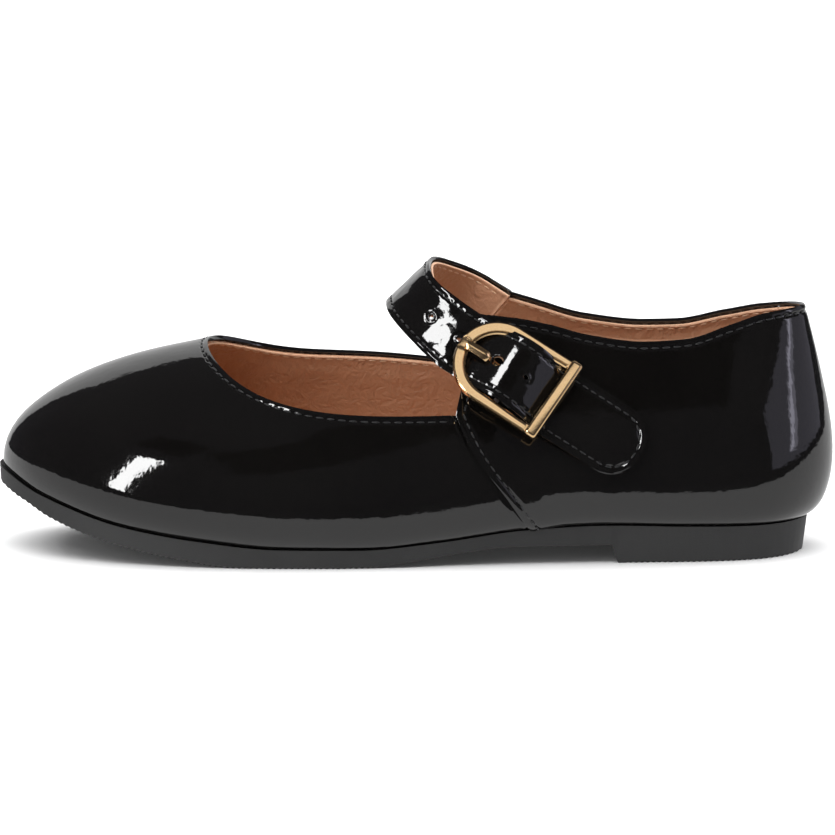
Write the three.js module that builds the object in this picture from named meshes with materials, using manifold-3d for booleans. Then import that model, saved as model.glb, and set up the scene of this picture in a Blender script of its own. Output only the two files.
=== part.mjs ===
// A child's left strap shoe: patent leather upper, leather linings, stiffeners, inner soles,
// a moulded rubber sole with its heel block, and a strap that closes in a metal buckle.
// Millimetres, +Z up. The toe points to -X, the heel to +X, and the buckle side faces -Y.
import * as THREE from 'three';
import { mergeVertices } from 'three/addons/utils/BufferGeometryUtils.js';
import Module from 'manifold-3d';

const wasm = await Module();
wasm.setup();

// ---------------------------------------------------------------- driving dimensions
const SHOE_LENGTH = 188;        // over the upper, toe to heel
const SHOE_WIDTH = 70;          // over the upper at the ball of the foot
const COLLAR_HEIGHT = 48.7;     // lowest point of the topline, above the ground
const GAP = 0.3;                // clearance between two pieces that touch

const LEATHER = 1.0;            // outer leather
const LINING = 0.8;             // lining leather
const STIFFENER = 0.6;          // toe puff and heel counter
const LASTING_MARGIN = 8;       // outer leather turned under the foot

const SOLE_THICKNESS = 4.0;     // rubber at the ball, at the edge
const WAIST_LIFT = 4.2;         // underside of the sole above the ground at the waist
const HEEL_FRONT = 45.5;        // front face of the heel block, from the middle of the shoe
const BOARD = 1.5;              // insole board
const SOCK = 1.0;               // sock liner
const HEEL_PAD = 2.0;           // foam under the sock liner
const SHANK_WIDTH = 11;
const SHANK = 1.0;

const STRAP_WIDTH = 14.2;
const STRAP_LEATHER = 0.9;
const STRAP_LINING = 0.6;
const STRAP_TAIL = 33.8;        // buckle centre to the end of the tip
const STRAP_SLOPE = 31.3;       // degrees, down towards the heel
const HOLE_PITCH = 8;
const HOLE_RADIUS = 0.75;
const BUCKLE_X = 21;
const BUCKLE_Z = 41.8;
const BUCKLE_LENGTH = 26;       // along the strap
const BAND = 2.7;               // width of the arch's band
const STRAP_PLAY = 1.5;         // between the strap's edge and the buckle's arm, each side
const BUCKLE_WIDTH = STRAP_WIDTH + 2 * (BAND + STRAP_PLAY);
const BAND_THICKNESS = 1.8;
const BAND_HEIGHT = 3.8;        // middle of the band above the quarter
const REAR_BAR_RADIUS = 1.3;
const PIN_RADIUS = 0.6;
const PIN_OFFSET = 1;           // pin from the middle of the buckle, towards the heel
const PIN_HEIGHT = 2.4;         // pin above the quarter
const PRONG = 1.6;              // prong width
const TAB = 0.5;                // leather of the buckle tab
const TAB_WIDTH = STRAP_WIDTH - 2.2;

// ---------------------------------------------------------------- the last
// The last is one smooth surface. Sixteen stations run round it: toe, seven down the outer side,
// heel, seven up the inner side. Each gives its foot on the sole's edge, its point on the rim
// and how far the wall bulges between them, for a shoe of the base size.
const BASE = { length: 188, width: 70, height: 48.7 };
const LONG = SHOE_LENGTH / BASE.length;
const WIDE = SHOE_WIDTH / BASE.width;
const HIGH = COLLAR_HEIGHT / BASE.height;

const EDGE_LINE = [             // height of the sole's upper edge along the shoe
  [-97, 20.5], [-84, 13.8], [-66, 8.4], [-48, 5.6], [-30, 4.0], [-12, 3.9],
  [6, 5.4], [24, 7.6], [42, 8.4], [60, 8.0], [80, 7.7], [100, 7.8],
];
const STATIONS = [              // foot x, y; rim x, y, z; bulge; bend of the collar above the rim
  [-96.6, 4.0, -47.8, 2.5, 46.6, 10.4, 0],
  [-88.4, -15.5, -45.6, -9.5, 43.6, 9.4, 0],
  [-66.0, -28.0, -38.8, -18.5, 38.4, 7.4, 0],
  [-38.0, -32.0, -27.0, -25.0, 34.4, 5.5, 0],
  [-8.0, -32.0, -8.0, -27.5, 33.0, 3.8, 0.003],
  [22.0, -27.0, 20.0, -26.0, 34.0, 3.6, 0.004],
  [50.0, -24.5, 50.0, -23.5, 34.0, 3.6, 0.004],
  [81.5, -23.5, 84.0, -22.0, 34.0, 3.8, 0.005],
  [91.8, -2.5, 98.0, -2.0, 34.0, 5.2, 0.0025],
  [81.5, 18.5, 84.0, 17.5, 34.0, 3.8, 0.005],
  [50.0, 19.0, 50.0, 18.5, 34.5, 3.6, 0.004],
  [22.0, 21.5, 20.0, 20.5, 38.0, 4.0, 0.004],
  [-8.0, 29.0, -8.0, 24.5, 41.0, 4.4, 0.003],
  [-38.0, 31.0, -27.0, 24.0, 41.0, 5.5, 0],
  [-66.0, 30.5, -38.8, 19.5, 44.0, 7.4, 0],
  [-88.4, 21.0, -45.6, 12.0, 46.6, 9.4, 0],
];
const TOPLINE = [               // height of the collar's edge along the shoe
  [8, 54.6], [16, 54.5], [24, 53.9], [31, 52.6], [40, 50.2], [52, 48.7], [61, 49.1],
  [73, 52.2], [82, 54.3], [96, 55.4],
];
const RISE = [0, 0.06, 0.3, 0.56, 0.8, 1];        // share of the way from foot to rim
const BULGE = [0, 0.8, 1.12, 0.98, 0.55, 0];      // share of the bulge there
const COLLAR_UNIT = 20;                           // one unit of w above the rim
const AROUND = STATIONS.length;

// Smooth curve through knots [x, value], flat at both ends and never past a knot's value.
function along(knots, x) {
  const last = knots.length - 1;
  if (x <= knots[0][0]) return knots[0][1];
  if (x >= knots[last][0]) return knots[last][1];
  let i = 0;
  while (x > knots[i + 1][0]) i += 1;
  const rate = (k) => (knots[k + 1][1] - knots[k][1]) / (knots[k + 1][0] - knots[k][0]);
  const slope = (k) => {
    if (k === 0 || k === last || rate(k - 1) * rate(k) <= 0) return 0;
    return 2 * rate(k - 1) * rate(k) / (rate(k - 1) + rate(k));
  };
  const span = knots[i + 1][0] - knots[i][0];
  const t = (x - knots[i][0]) / span;
  const t2 = t * t;
  const t3 = t2 * t;
  return (2 * t3 - 3 * t2 + 1) * knots[i][1] + (t3 - 2 * t2 + t) * span * slope(i)
    + (3 * t2 - 2 * t3) * knots[i + 1][1] + (t3 - t2) * span * slope(i + 1);
}
const edgeHeight = (x) => along(EDGE_LINE, x / LONG);
const collarHeight = (x) => along(TOPLINE, x / LONG) * HIGH;

// Control points: one column of six for each station.
const CONTROL = STATIONS.map(([fx, fy, rx, ry, rz, bulge], k) => {
  const foot = new THREE.Vector3(fx * LONG, fy * WIDE, edgeHeight(fx * LONG));
  const rim = new THREE.Vector3(rx * LONG, ry * WIDE, rz * HIGH);
  const before = STATIONS[(k + AROUND - 1) % AROUND];
  const after = STATIONS[(k + 1) % AROUND];
  const out = new THREE.Vector3(after[1] - before[1], before[0] - after[0], 0);
  if (out.x * fx + out.y * fy < 0) out.negate();
  const chord = rim.clone().sub(foot).normalize();
  out.normalize().addScaledVector(chord, -out.dot(chord)).normalize();
  return RISE.map((share, j) => foot.clone().lerp(rim, share)
    .addScaledVector(out, bulge * HIGH * BULGE[j]));
});

// Uniform cubic weights round the last, and clamped cubic weights up its wall.
function ringWeights(f) {
  const g = 1 - f;
  return [g ** 3 / 6, (3 * f ** 3 - 6 * f * f + 4) / 6,
    (-3 * f ** 3 + 3 * f * f + 3 * f + 1) / 6, f ** 3 / 6];
}
const KNOTS = [0, 0, 0, 0, 1 / 3, 2 / 3, 1, 1, 1, 1];
function wallWeights(t) {
  const u = Math.min(Math.max(t, 0), 1 - 1e-9);
  let weights = KNOTS.slice(1).map((k, i) => (KNOTS[i] <= u && u < k ? 1 : 0));
  for (let p = 1; p <= 3; p += 1) {
    weights = weights.slice(1).map((_, i) => {
      const low = KNOTS[i + p] - KNOTS[i];
      const high = KNOTS[i + p + 1] - KNOTS[i + 1];
      return (low > 0 ? (u - KNOTS[i]) / low * weights[i] : 0)
        + (high > 0 ? (KNOTS[i + p + 1] - u) / high * weights[i + 1] : 0);
    });
  }
  return weights;
}
function ring(s, pick) {
  const i = Math.floor(s);
  const sum = new THREE.Vector3();
  ringWeights(s - i).forEach((weight, a) => {
    sum.addScaledVector(pick((i - 1 + a + 2 * AROUND) % AROUND), weight);
  });
  return sum;
}

// The point at station s. w is -1 to 0 on the lasting margin under the foot, 0 to 1 from the
// sole's edge to the rim, and above 1 on the collar.
function last(s, w) {
  const foot = ring(s, (k) => CONTROL[k][0]);
  if (w <= 0) {
    foot.addScaledVector(inward(s), -w * LASTING_MARGIN);
    foot.z = edgeHeight(foot.x);
    return foot;
  }
  if (w <= 1) {
    const weights = wallWeights(w);
    const p = new THREE.Vector3();
    CONTROL[0].forEach((_, j) => p.addScaledVector(ring(s, (k) => CONTROL[k][j]), weights[j]));
    p.z += (edgeHeight(foot.x) - foot.z) * (1 - w) ** 2;
    return p;
  }
  const rim = ring(s, (k) => CONTROL[k][5]);
  const lean = rim.clone().sub(ring(s, (k) => CONTROL[k][4]));
  const height = (w - 1) * COLLAR_UNIT;
  const bend = ring(s, (k) => new THREE.Vector3(STATIONS[k][6], 0, 0)).x;
  return rim.addScaledVector(lean, height / lean.z)
    .addScaledVector(inward(s), bend * height * height);
}
function inward(s) {
  const step = 0.01;
  const a = ring(s - step, (k) => CONTROL[k][0]);
  const b = ring(s + step, (k) => CONTROL[k][0]);
  return new THREE.Vector3(b.y - a.y, a.x - b.x, 0).normalize().multiplyScalar(-1);
}
function outwardNormal(s, w) {
  const step = 0.004;
  const ds = last(s + step, w).sub(last(s - step, w));
  const dw = last(s, w + step).sub(last(s, w - step));
  return ds.cross(dw).normalize();
}
const collarTop = (s) => {
  const rim = last(s, 1);
  return 1 + (collarHeight(rim.x) - rim.z) / COLLAR_UNIT;
};

// ---------------------------------------------------------------- building closed bodies
const group = new THREE.Group();
const materials = {
  patent: new THREE.MeshStandardMaterial({ color: 0x0e0d0c, roughness: 0.12, metalness: 0 }),
  tan: new THREE.MeshStandardMaterial({ color: 0x9c6642, roughness: 0.7, metalness: 0 }),
  rubber: new THREE.MeshStandardMaterial({ color: 0x1b1b1c, roughness: 0.75, metalness: 0 }),
  brass: new THREE.MeshStandardMaterial({ color: 0xd9b368, roughness: 0.25, metalness: 1 }),
  steel: new THREE.MeshStandardMaterial({ color: 0x8d9094, roughness: 0.4, metalness: 1 }),
  board: new THREE.MeshStandardMaterial({ color: 0xb79c74, roughness: 0.9, metalness: 0 }),
  foam: new THREE.MeshStandardMaterial({ color: 0xe4ddcc, roughness: 0.95, metalness: 0 }),
  stiffener: new THREE.MeshStandardMaterial({ color: 0xcfc6b4, roughness: 0.9, metalness: 0 }),
};

function addNode(name, geometry, material) {
  geometry.computeVertexNormals();
  const mesh = new THREE.Mesh(geometry, material);
  mesh.name = name;
  group.add(mesh);
  return mesh;
}

// A closed body from sections: loops[i][j] are points, every loop with as many.
// The first and last loops are closed with a fan unless they shrink to a line.
function loft(loops) {
  const count = loops[0].length;
  const position = [];
  const index = [];
  loops.forEach((loop) => loop.forEach((p) => position.push(p.x, p.y, p.z)));
  for (let i = 0; i + 1 < loops.length; i += 1) {
    for (let j = 0; j < count; j += 1) {
      const a = i * count + j;
      const b = i * count + (j + 1) % count;
      index.push(a, b, b + count, a, b + count, a + count);
    }
  }
  const end = (loops.length - 1) * count;
  for (let j = 1; j + 1 < count; j += 1) {
    index.push(0, j + 1, j);
    index.push(end, end + j, end + j + 1);
  }
  return closed(position, index);
}

// Merges equal vertices, drops empty triangles and turns the faces outwards.
function closed(position, index) {
  const raw = new THREE.BufferGeometry();
  raw.setAttribute('position', new THREE.Float32BufferAttribute(position, 3));
  raw.setIndex(index);
  const merged = mergeVertices(raw, 1e-4);
  const at = merged.getAttribute('position');
  const corner = (k) => new THREE.Vector3().fromBufferAttribute(at, k);
  const old = merged.getIndex().array;
  const kept = [];
  let volume = 0;
  for (let i = 0; i < old.length; i += 3) {
    const [a, b, c] = [old[i], old[i + 1], old[i + 2]];
    if (a === b || b === c || c === a) continue;
    kept.push(a, b, c);
    volume += corner(a).dot(corner(b).cross(corner(c)));
  }
  if (volume < 0) kept.reverse();
  merged.setIndex(kept);
  return merged;
}

function toSolid(geometry) {
  const plain = geometry.clone();
  plain.deleteAttribute('normal');
  plain.deleteAttribute('uv');
  const merged = mergeVertices(plain, 1e-4);
  const index = merged.getIndex().array;
  const triVerts = [];
  for (let i = 0; i < index.length; i += 3) {
    const [a, b, c] = [index[i], index[i + 1], index[i + 2]];
    if (a !== b && b !== c && c !== a) triVerts.push(a, b, c);
  }
  return new wasm.Manifold(new wasm.Mesh({
    numProp: 3,
    vertProperties: new Float32Array(merged.getAttribute('position').array),
    triVerts: new Uint32Array(triVerts),
  }));
}
function toGeometry(solid) {
  const { vertProperties, triVerts, numProp } = solid.getMesh();
  const geometry = new THREE.BufferGeometry();
  const position = new Float32Array(vertProperties.length / numProp * 3);
  for (let i = 0; i < position.length / 3; i += 1) {
    for (let k = 0; k < 3; k += 1) position[3 * i + k] = vertProperties[numProp * i + k];
  }
  geometry.setAttribute('position', new THREE.BufferAttribute(position, 3));
  geometry.setIndex(Array.from(triVerts));
  return geometry;
}

// ---------------------------------------------------------------- shells on the last
// Rows of a shell: w up to 1, then 1 + share of the collar's height.
const WALL_ROWS = [0, 0.05, 0.12, 0.22, 0.36, 0.52, 0.68, 0.84, 1];
const MARGIN_ROWS = [-1, -0.3, ...WALL_ROWS];
const COLLAR_ROWS = [1.35, 1.7, 2];

// A shell between two depths under the last's surface. from and to give its ends at a row.
function shell({ from, to, rows, columns, outside, inside }) {
  const face = (depth) => rows.map((row) => {
    const points = [];
    for (let i = 0; i <= columns; i += 1) {
      const s = THREE.MathUtils.lerp(from(row), to(row), i / columns);
      const w = row <= 1 ? row : 1 + (collarTop(s) - 1) * (row - 1);
      points.push(last(s, w).addScaledVector(outwardNormal(s, w), -depth(s, w)));
    }
    return points;
  });
  const outer = face(outside);
  const inner = face(inside);
  const loops = [];
  for (let i = 0; i <= columns; i += 1) {
    const up = outer.map((points) => points[i]);
    const down = inner.map((points) => points[i]).reverse();
    loops.push([...up, ...down]);
  }
  return capped(loops, rows.length);
}

// Like loft, but with each end closed by quads between the outer and inner rows.
function capped(loops, rowCount) {
  const count = loops[0].length;
  const position = [];
  const index = [];
  loops.forEach((loop) => loop.forEach((p) => position.push(p.x, p.y, p.z)));
  for (let i = 0; i + 1 < loops.length; i += 1) {
    for (let j = 0; j < count; j += 1) {
      const a = i * count + j;
      const b = i * count + (j + 1) % count;
      index.push(a, b, b + count, a, b + count, a + count);
    }
  }
  const end = (loops.length - 1) * count;
  for (let j = 0; j + 1 < rowCount; j += 1) {
    const mate = count - 1 - j;
    index.push(j, mate, j + 1, j + 1, mate, mate - 1);
    index.push(end + j, end + j + 1, end + mate, end + j + 1, end + mate - 1, end + mate);
  }
  return closed(position, index);
}

const smooth = (a, b, x) => THREE.MathUtils.smoothstep(x, a, b);
const HEEL_AT = AROUND / 2;
const TOE_PUFF_REACH = 2.3;      // stations from the toe
const COUNTER_REACH = 1.7;       // stations from the heel
const COUNTER_TOP = 1.55;        // w of the counter's upper edge

// How far the lining lies in: deeper where a stiffener lies behind it.
function liningDepth(s, w) {
  const turn = ((s % AROUND) + AROUND) % AROUND;
  const fromToe = Math.min(turn, AROUND - turn);
  const fromHeel = Math.abs(turn - HEEL_AT);
  const toe = (1 - smooth(TOE_PUFF_REACH + 0.25, TOE_PUFF_REACH + 1, fromToe))
    * (1 - smooth(0.8, 0.97, w));
  const heel = (1 - smooth(COUNTER_REACH + 0.2, COUNTER_REACH + 0.9, fromHeel))
    * (1 - smooth(COUNTER_TOP + 0.12, COUNTER_TOP + 0.36, w));
  return LEATHER + GAP + Math.max(toe, heel) * (STIFFENER + GAP);
}

// The side seam slants from the rim down towards the heel.
const SEAM = { foot: 5.15, rim: 4.6, top: 4.85 };
const seam = (row) => (row <= 1 ? THREE.MathUtils.lerp(SEAM.foot, SEAM.rim, Math.max(row, 0))
  : THREE.MathUtils.lerp(SEAM.rim, SEAM.top, row - 1));
const SEAM_GAP = 0.012;          // half the seam's gap, in stations

addNode('vamp', shell({
  from: (row) => -seam(row) + SEAM_GAP,
  to: (row) => seam(row) - SEAM_GAP,
  rows: MARGIN_ROWS,
  columns: 34,
  outside: () => 0,
  inside: () => LEATHER,
}), materials.patent);


addNode('vamp_lining', shell({
  from: (row) => -seam(row) + SEAM_GAP,
  to: (row) => seam(row) - SEAM_GAP,
  rows: WALL_ROWS.slice(1),
  columns: 28,
  outside: liningDepth,
  inside: (s, w) => liningDepth(s, w) + LINING,
}), materials.tan);

addNode('toe_puff', shell({
  from: () => -TOE_PUFF_REACH,
  to: () => TOE_PUFF_REACH,
  rows: WALL_ROWS.slice(1, 7),
  columns: 14,
  outside: () => LEATHER + GAP,
  inside: () => LEATHER + GAP + STIFFENER,
}), materials.stiffener);

addNode('heel_counter', shell({
  from: () => HEEL_AT - COUNTER_REACH,
  to: () => HEEL_AT + COUNTER_REACH,
  rows: [...WALL_ROWS.slice(1), 1.3, COUNTER_TOP],
  columns: 14,
  outside: () => LEATHER + GAP,
  inside: () => LEATHER + GAP + STIFFENER,
}), materials.stiffener);

// Quarters: each side runs from the side seam to the back seam at the heel.
function quarterShell(start, end, depths) {
  return shell({
    from: start,
    to: end,
    rows: [...depths.rows, ...COLLAR_ROWS],
    columns: 16,
    outside: depths.outside,
    inside: depths.inside,
  });
}
const OUTER = { rows: MARGIN_ROWS, outside: () => 0, inside: () => LEATHER };
const INNER = {
  rows: WALL_ROWS.slice(1),
  outside: liningDepth,
  inside: (s, w) => liningDepth(s, w) + LINING,
};
const lateralFront = (row) => seam(row) + SEAM_GAP;
// On the inner side the collar ends along the strap's root, a line that leans back.
const ROOT_REAR = { x: 20.8 * LONG, z: 54.8 * HIGH };
const ROOT_LEAN = 0.75 * LONG / HIGH;             // how far the line leans back as it rises
function medialFront(row) {
  let s = AROUND - seam(Math.min(row, 1)) - SEAM_GAP;
  if (row <= 1) return s;
  for (let turn = 0; turn < 12; turn += 1) {
    const p = last(s, 1 + (collarTop(s) - 1) * (row - 1));
    const line = ROOT_REAR.x + (p.z - ROOT_REAR.z) * ROOT_LEAN;
    const ahead = last(s + 0.01, 1 + (collarTop(s) - 1) * (row - 1));
    s += (line - p.x) / ((ahead.x - p.x) / 0.01);
  }
  return s;
}
const backLateral = () => HEEL_AT - SEAM_GAP;
const backMedial = () => HEEL_AT + SEAM_GAP;
addNode('quarter_lateral', quarterShell(lateralFront, backLateral, OUTER), materials.patent);
addNode('quarter_medial', quarterShell(backMedial, medialFront, OUTER), materials.patent);
addNode('lining_lateral', quarterShell(lateralFront, backLateral, INNER), materials.tan);
addNode('lining_medial', quarterShell(backMedial, medialFront, INNER), materials.tan);

// ---------------------------------------------------------------- sole and inner soles
// A flat piece whose outline follows the sole's edge at a distance inside it, between two
// shares of the way from toe to heel. low and high give its faces at a place along the shoe.
function soleSlab({ start = 0, end = 1, inset, low, high, steps }) {
  const side = (s) => {
    const p = last(s, 0);
    return p.addScaledVector(inward(s), inset);
  };
  const loops = [];
  for (let i = 0; i <= steps; i += 1) {
    const turn = THREE.MathUtils.lerp(start, end, (1 - Math.cos(Math.PI * i / steps)) / 2);
    const a = side(turn * HEEL_AT);
    const b = side(AROUND - turn * HEEL_AT);
    loops.push([
      new THREE.Vector3(a.x, a.y, low(a.x)), new THREE.Vector3(a.x, a.y, high(a.x)),
      new THREE.Vector3(b.x, b.y, high(b.x)), new THREE.Vector3(b.x, b.y, low(b.x)),
    ]);
  }
  return loft(loops);
}

// The rubber sole: a plate that lifts at the toe and the waist, and a heel block joined on.
const UNDERSIDE = [              // share of the plate's own thickness, and lift of its underside
  [-97, 17.2], [-88, 12.1], [-82, 9.2], [-69, 5.0], [-52, 1.6], [-38, 0], [-16, 0],
];
const soleUnder = (x) => {
  const lift = WAIST_LIFT * smooth(-16, 24, x / LONG);
  return Math.max(along(UNDERSIDE, x / LONG) * SOLE_THICKNESS / 4, 0) + lift;
};
const soleTop = (x) => edgeHeight(x) - GAP;
const SOLE_EDGE = 0.8;           // how far the sole stands out beyond the upper's foot
const HEEL_INSET = 1.0;
const plate = toSolid(soleSlab({ inset: -SOLE_EDGE, low: soleUnder, high: soleTop, steps: 44 }));
const heelFull = toSolid(soleSlab({
  start: 0.5, inset: -SOLE_EDGE + HEEL_INSET, low: () => 0, high: (x) => soleTop(x) - 1, steps: 20,
}));
const breast = new THREE.BoxGeometry(200 * LONG, 200, 60);
breast.translate(HEEL_FRONT * LONG + 100 * LONG, 0, 0);
const heelBlock = heelFull.intersect(toSolid(breast));
addNode('outsole', toGeometry(plate.add(heelBlock)), materials.rubber);

const steepness = (x) => Math.hypot(1, edgeHeight(x + 1) - edgeHeight(x - 1));
const boardLow = (x) => edgeHeight(x) + (LEATHER + GAP) * steepness(x);
const boardHigh = (x) => boardLow(x) + BOARD;
const BOARD_INSET = 4.2;
addNode('insole_board', soleSlab({
  inset: BOARD_INSET, low: boardLow, high: boardHigh, steps: 30,
}), materials.board);
addNode('bottom_filler', soleSlab({
  start: 0.06, end: 0.44, inset: LASTING_MARGIN + 0.6, low: edgeHeight,
  high: (x) => edgeHeight(x) + LEATHER, steps: 16,
}), materials.foam);

const SHANK_START = 4;
const SHANK_END = 74;
const shankLoops = [];
for (let i = 0; i <= 12; i += 1) {
  const x = THREE.MathUtils.lerp(SHANK_START, SHANK_END, i / 12) * LONG;
  const y = -2.5 * WIDE;
  const bottom = edgeHeight(x);
  shankLoops.push([[-1, 0], [-1, 1], [1, 1], [1, 0]].map(([side, up]) => (
    new THREE.Vector3(x, y + side * SHANK_WIDTH / 2, bottom + up * SHANK))));
}
addNode('shank', loft(shankLoops), materials.steel);

const PAD_START = 0.62;
const padLow = (x) => boardHigh(x) + GAP;
addNode('heel_pad', soleSlab({
  start: PAD_START, inset: BOARD_INSET + 2.2, low: padLow, high: (x) => padLow(x) + HEEL_PAD,
  steps: 14,
}), materials.foam);
const sockLow = (x) => padLow(x) + smooth(-6, 12, x / LONG) * (HEEL_PAD + GAP);
addNode('sock_liner', soleSlab({
  inset: BOARD_INSET + 0.6, low: sockLow, high: (x) => sockLow(x) + SOCK, steps: 30,
}), materials.tan);

// ---------------------------------------------------------------- strap
// The point of the wall that is seen at x, z from the side (side 1 is the buckle side).
function onWall(x, z, side) {
  let s = side > 0 ? 4.5 + (x + 5) / 28 : AROUND - 4.5 - (x + 5) / 28;
  let w = z / HIGH > 34 ? 1 + (z / HIGH - 34) / COLLAR_UNIT : 0.6;
  const step = 0.01;
  for (let turn = 0; turn < 20; turn += 1) {
    const p = last(s, w);
    const ps = last(s + step, w).sub(p).divideScalar(step);
    const pw = last(s, w + step).sub(p).divideScalar(step);
    const det = ps.x * pw.z - ps.z * pw.x;
    const ex = x - p.x;
    const ez = z - p.z;
    s += (ex * pw.z - ez * pw.x) / det;
    w += (ps.x * ez - ps.z * ex) / det;
  }
  return { point: last(s, w), normal: outwardNormal(s, w) };
}

const slope = THREE.MathUtils.degToRad(STRAP_SLOPE);
const buckleX = BUCKLE_X * LONG;
const buckleZ = BUCKLE_Z * HIGH;
const alongStrap = new THREE.Vector2(Math.cos(slope), -Math.sin(slope));
const acrossStrap = new THREE.Vector2(Math.sin(slope), Math.cos(slope));

// Height of the strap's underside above the quarter: over the pin, and close on both sides.
const STRAP_LIFT = [
  [-14, 0.35], [-5.0, 0.35], [-2.2, 2.2], [1, 4.3], [3, 4.1], [7, 2.3], [11, 0.5], [40, 0.5],
];
const strapLift = (d) => along(STRAP_LIFT, d);
function strapEdges(d) {
  const fromEnd = STRAP_TAIL - d;
  const half = STRAP_WIDTH / 2;
  const share = fromEnd >= half ? 1 : Math.sqrt(Math.max(1 - ((half - fromEnd) / half) ** 2, 0.0025));
  const edge = (sign) => {
    const x = buckleX + d * alongStrap.x + sign * share * half * acrossStrap.x;
    const z = buckleZ + d * alongStrap.y + sign * share * half * acrossStrap.y;
    const { point, normal } = onWall(x, z, 1);
    return point.addScaledVector(normal, strapLift(d));
  };
  return [edge(1), edge(0), edge(-1)];
}

// The strap's root on the inner quarter, and its arch over the instep, as pairs of points on
// the strap's rear and front edges.
const ARCH = [
  [[19.2, 0, 54.7], [10.6, 0, 43.3]],
  [[14.8, 13.2, 58.0], [6.4, 18.6, 47.2]],
  [[9.2, 9.6, 61.2], [0.9, 15.4, 50.8]],
  [[5.2, 3.4, 63.6], [-3.8, 8.0, 53.6]],
  [[4.4, -4.4, 63.2], [-5.4, -2.4, 54.4]],
  [[5.6, -10.6, 60.8], [-4.0, -11.4, 52.0]],
];
const STRAP_THICKNESS = STRAP_LINING + GAP + STRAP_LEATHER;
function onWallInside(x, z) {
  const { point, normal } = onWall(x, z, -1);
  return point.addScaledVector(normal, -STRAP_THICKNESS);
}
const strapLines = [[], [], []];
ARCH.forEach((pair, k) => {
  const [rear, front] = pair.map(([x, y, z]) => (
    k === 0 ? onWallInside(x * LONG, z * HIGH) : new THREE.Vector3(x * LONG, y * WIDE, z * HIGH)));
  strapLines[0].push(rear);
  strapLines[1].push(rear.clone().lerp(front, 0.5));
  strapLines[2].push(front);
});
const STRAP_JOIN = -14;
[STRAP_JOIN, -11].forEach((d) => strapEdges(d).forEach((p, k) => strapLines[k].push(p)));
const strapCurves = strapLines.map((points) => new THREE.CatmullRomCurve3(points, false, 'centripetal'));
const strapSections = [];
const ARCH_STEPS = 22;
const archEnd = (ARCH.length) / (ARCH.length + 1);
for (let i = 0; i < ARCH_STEPS; i += 1) {
  strapSections.push(strapCurves.map((curve) => curve.getPoint(archEnd * i / ARCH_STEPS)));
}
const tailSteps = [];
for (let d = STRAP_JOIN; d < STRAP_TAIL - STRAP_WIDTH / 2; d += 1.5) tailSteps.push(d);
for (let i = 0; i <= 8; i += 1) {
  tailSteps.push(STRAP_TAIL - STRAP_WIDTH / 2 * (1 - Math.sin(Math.PI / 2 * i / 8)));
}
tailSteps.forEach((d) => strapSections.push(strapEdges(d)));
const strapNormals = strapSections.map((section, i) => {
  const before = strapSections[Math.max(i - 1, 0)][1];
  const after = strapSections[Math.min(i + 1, strapSections.length - 1)][1];
  const width = section[0].clone().sub(section[2]);
  const normal = after.clone().sub(before).cross(width).normalize();
  return normal;
});

function strapLayer(low, high) {
  const loops = strapSections.map((section, i) => {
    const n = strapNormals[i];
    const up = section.map((p) => p.clone().addScaledVector(n, low));
    const down = section.map((p) => p.clone().addScaledVector(n, high)).reverse();
    return [...up, ...down];
  });
  return loft(loops);
}

// The buckle's own frame: u along the strap, v across it, n away from the quarter.
const seat = onWall(buckleX, buckleZ, 1);
const n = seat.normal;
const u = onWall(buckleX + alongStrap.x, buckleZ + alongStrap.y, 1).point.sub(seat.point);
u.addScaledVector(n, -u.dot(n)).normalize();
const v = n.clone().cross(u);
const buckleBasis = new THREE.Matrix4().makeBasis(u, v, n).setPosition(seat.point);
const inBuckle = (a, b, c) => new THREE.Vector3(a, b, c).applyMatrix4(buckleBasis);

// Punched holes, and the one the prong stands in, which it has drawn into a slot.
const PRONG_HOLE = -4.6;
const SLOT_MIDDLE = -2.8;
const SLOT_HALF = 3.4;
const strapHoles = [];
[-2, -1, 1].forEach((k) => {
  const d = PRONG_HOLE + k * HOLE_PITCH;
  const at = d > STRAP_JOIN ? strapEdges(d)[1] : null;
  if (!at) return;
  const punch = new THREE.CylinderGeometry(HOLE_RADIUS, HOLE_RADIUS, 12, 12);
  punch.rotateX(Math.PI / 2);
  punch.applyMatrix4(new THREE.Matrix4().makeBasis(u, v, n).setPosition(at));
  strapHoles.push(punch);
});
const slot = new THREE.BoxGeometry(2 * SLOT_HALF, PRONG + 2 * GAP, 14);
slot.applyMatrix4(new THREE.Matrix4().makeBasis(u, v, n).setPosition(inBuckle(SLOT_MIDDLE, 0, 4)));
strapHoles.push(slot);
function punched(geometry) {
  let solid = toSolid(geometry);
  strapHoles.forEach((hole) => { solid = solid.subtract(toSolid(hole)); });
  return toGeometry(solid);
}
addNode('strap_lining', punched(strapLayer(0, STRAP_LINING)), materials.tan);
addNode('strap_outer', punched(strapLayer(
  STRAP_LINING + GAP, STRAP_THICKNESS)), materials.patent);

// ---------------------------------------------------------------- buckle
// Flat D of metal: an arch with two arms, and a round rear bar across their ends.
const archRadius = BUCKLE_WIDTH / 2;
const archCentre = -BUCKLE_LENGTH / 2 + archRadius;
const rearBarAt = BUCKLE_LENGTH / 2 - REAR_BAR_RADIUS;
function dOutline(shrink, rear) {
  const r = archRadius - shrink;
  const points = [new THREE.Vector2(rear, -r), new THREE.Vector2(rear, r)];
  for (let i = 0; i <= 18; i += 1) {
    const turn = Math.PI / 2 + Math.PI * i / 18;
    points.push(new THREE.Vector2(archCentre + r * Math.cos(turn), r * Math.sin(turn)));
  }
  return points;
}
const bandShape = new THREE.Shape(dOutline(0, rearBarAt));
bandShape.holes.push(new THREE.Path(dOutline(BAND, rearBarAt - REAR_BAR_RADIUS / 2)));
const band = new THREE.ExtrudeGeometry(bandShape, {
  depth: BAND_THICKNESS, bevelEnabled: false, curveSegments: 9,
});
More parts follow.
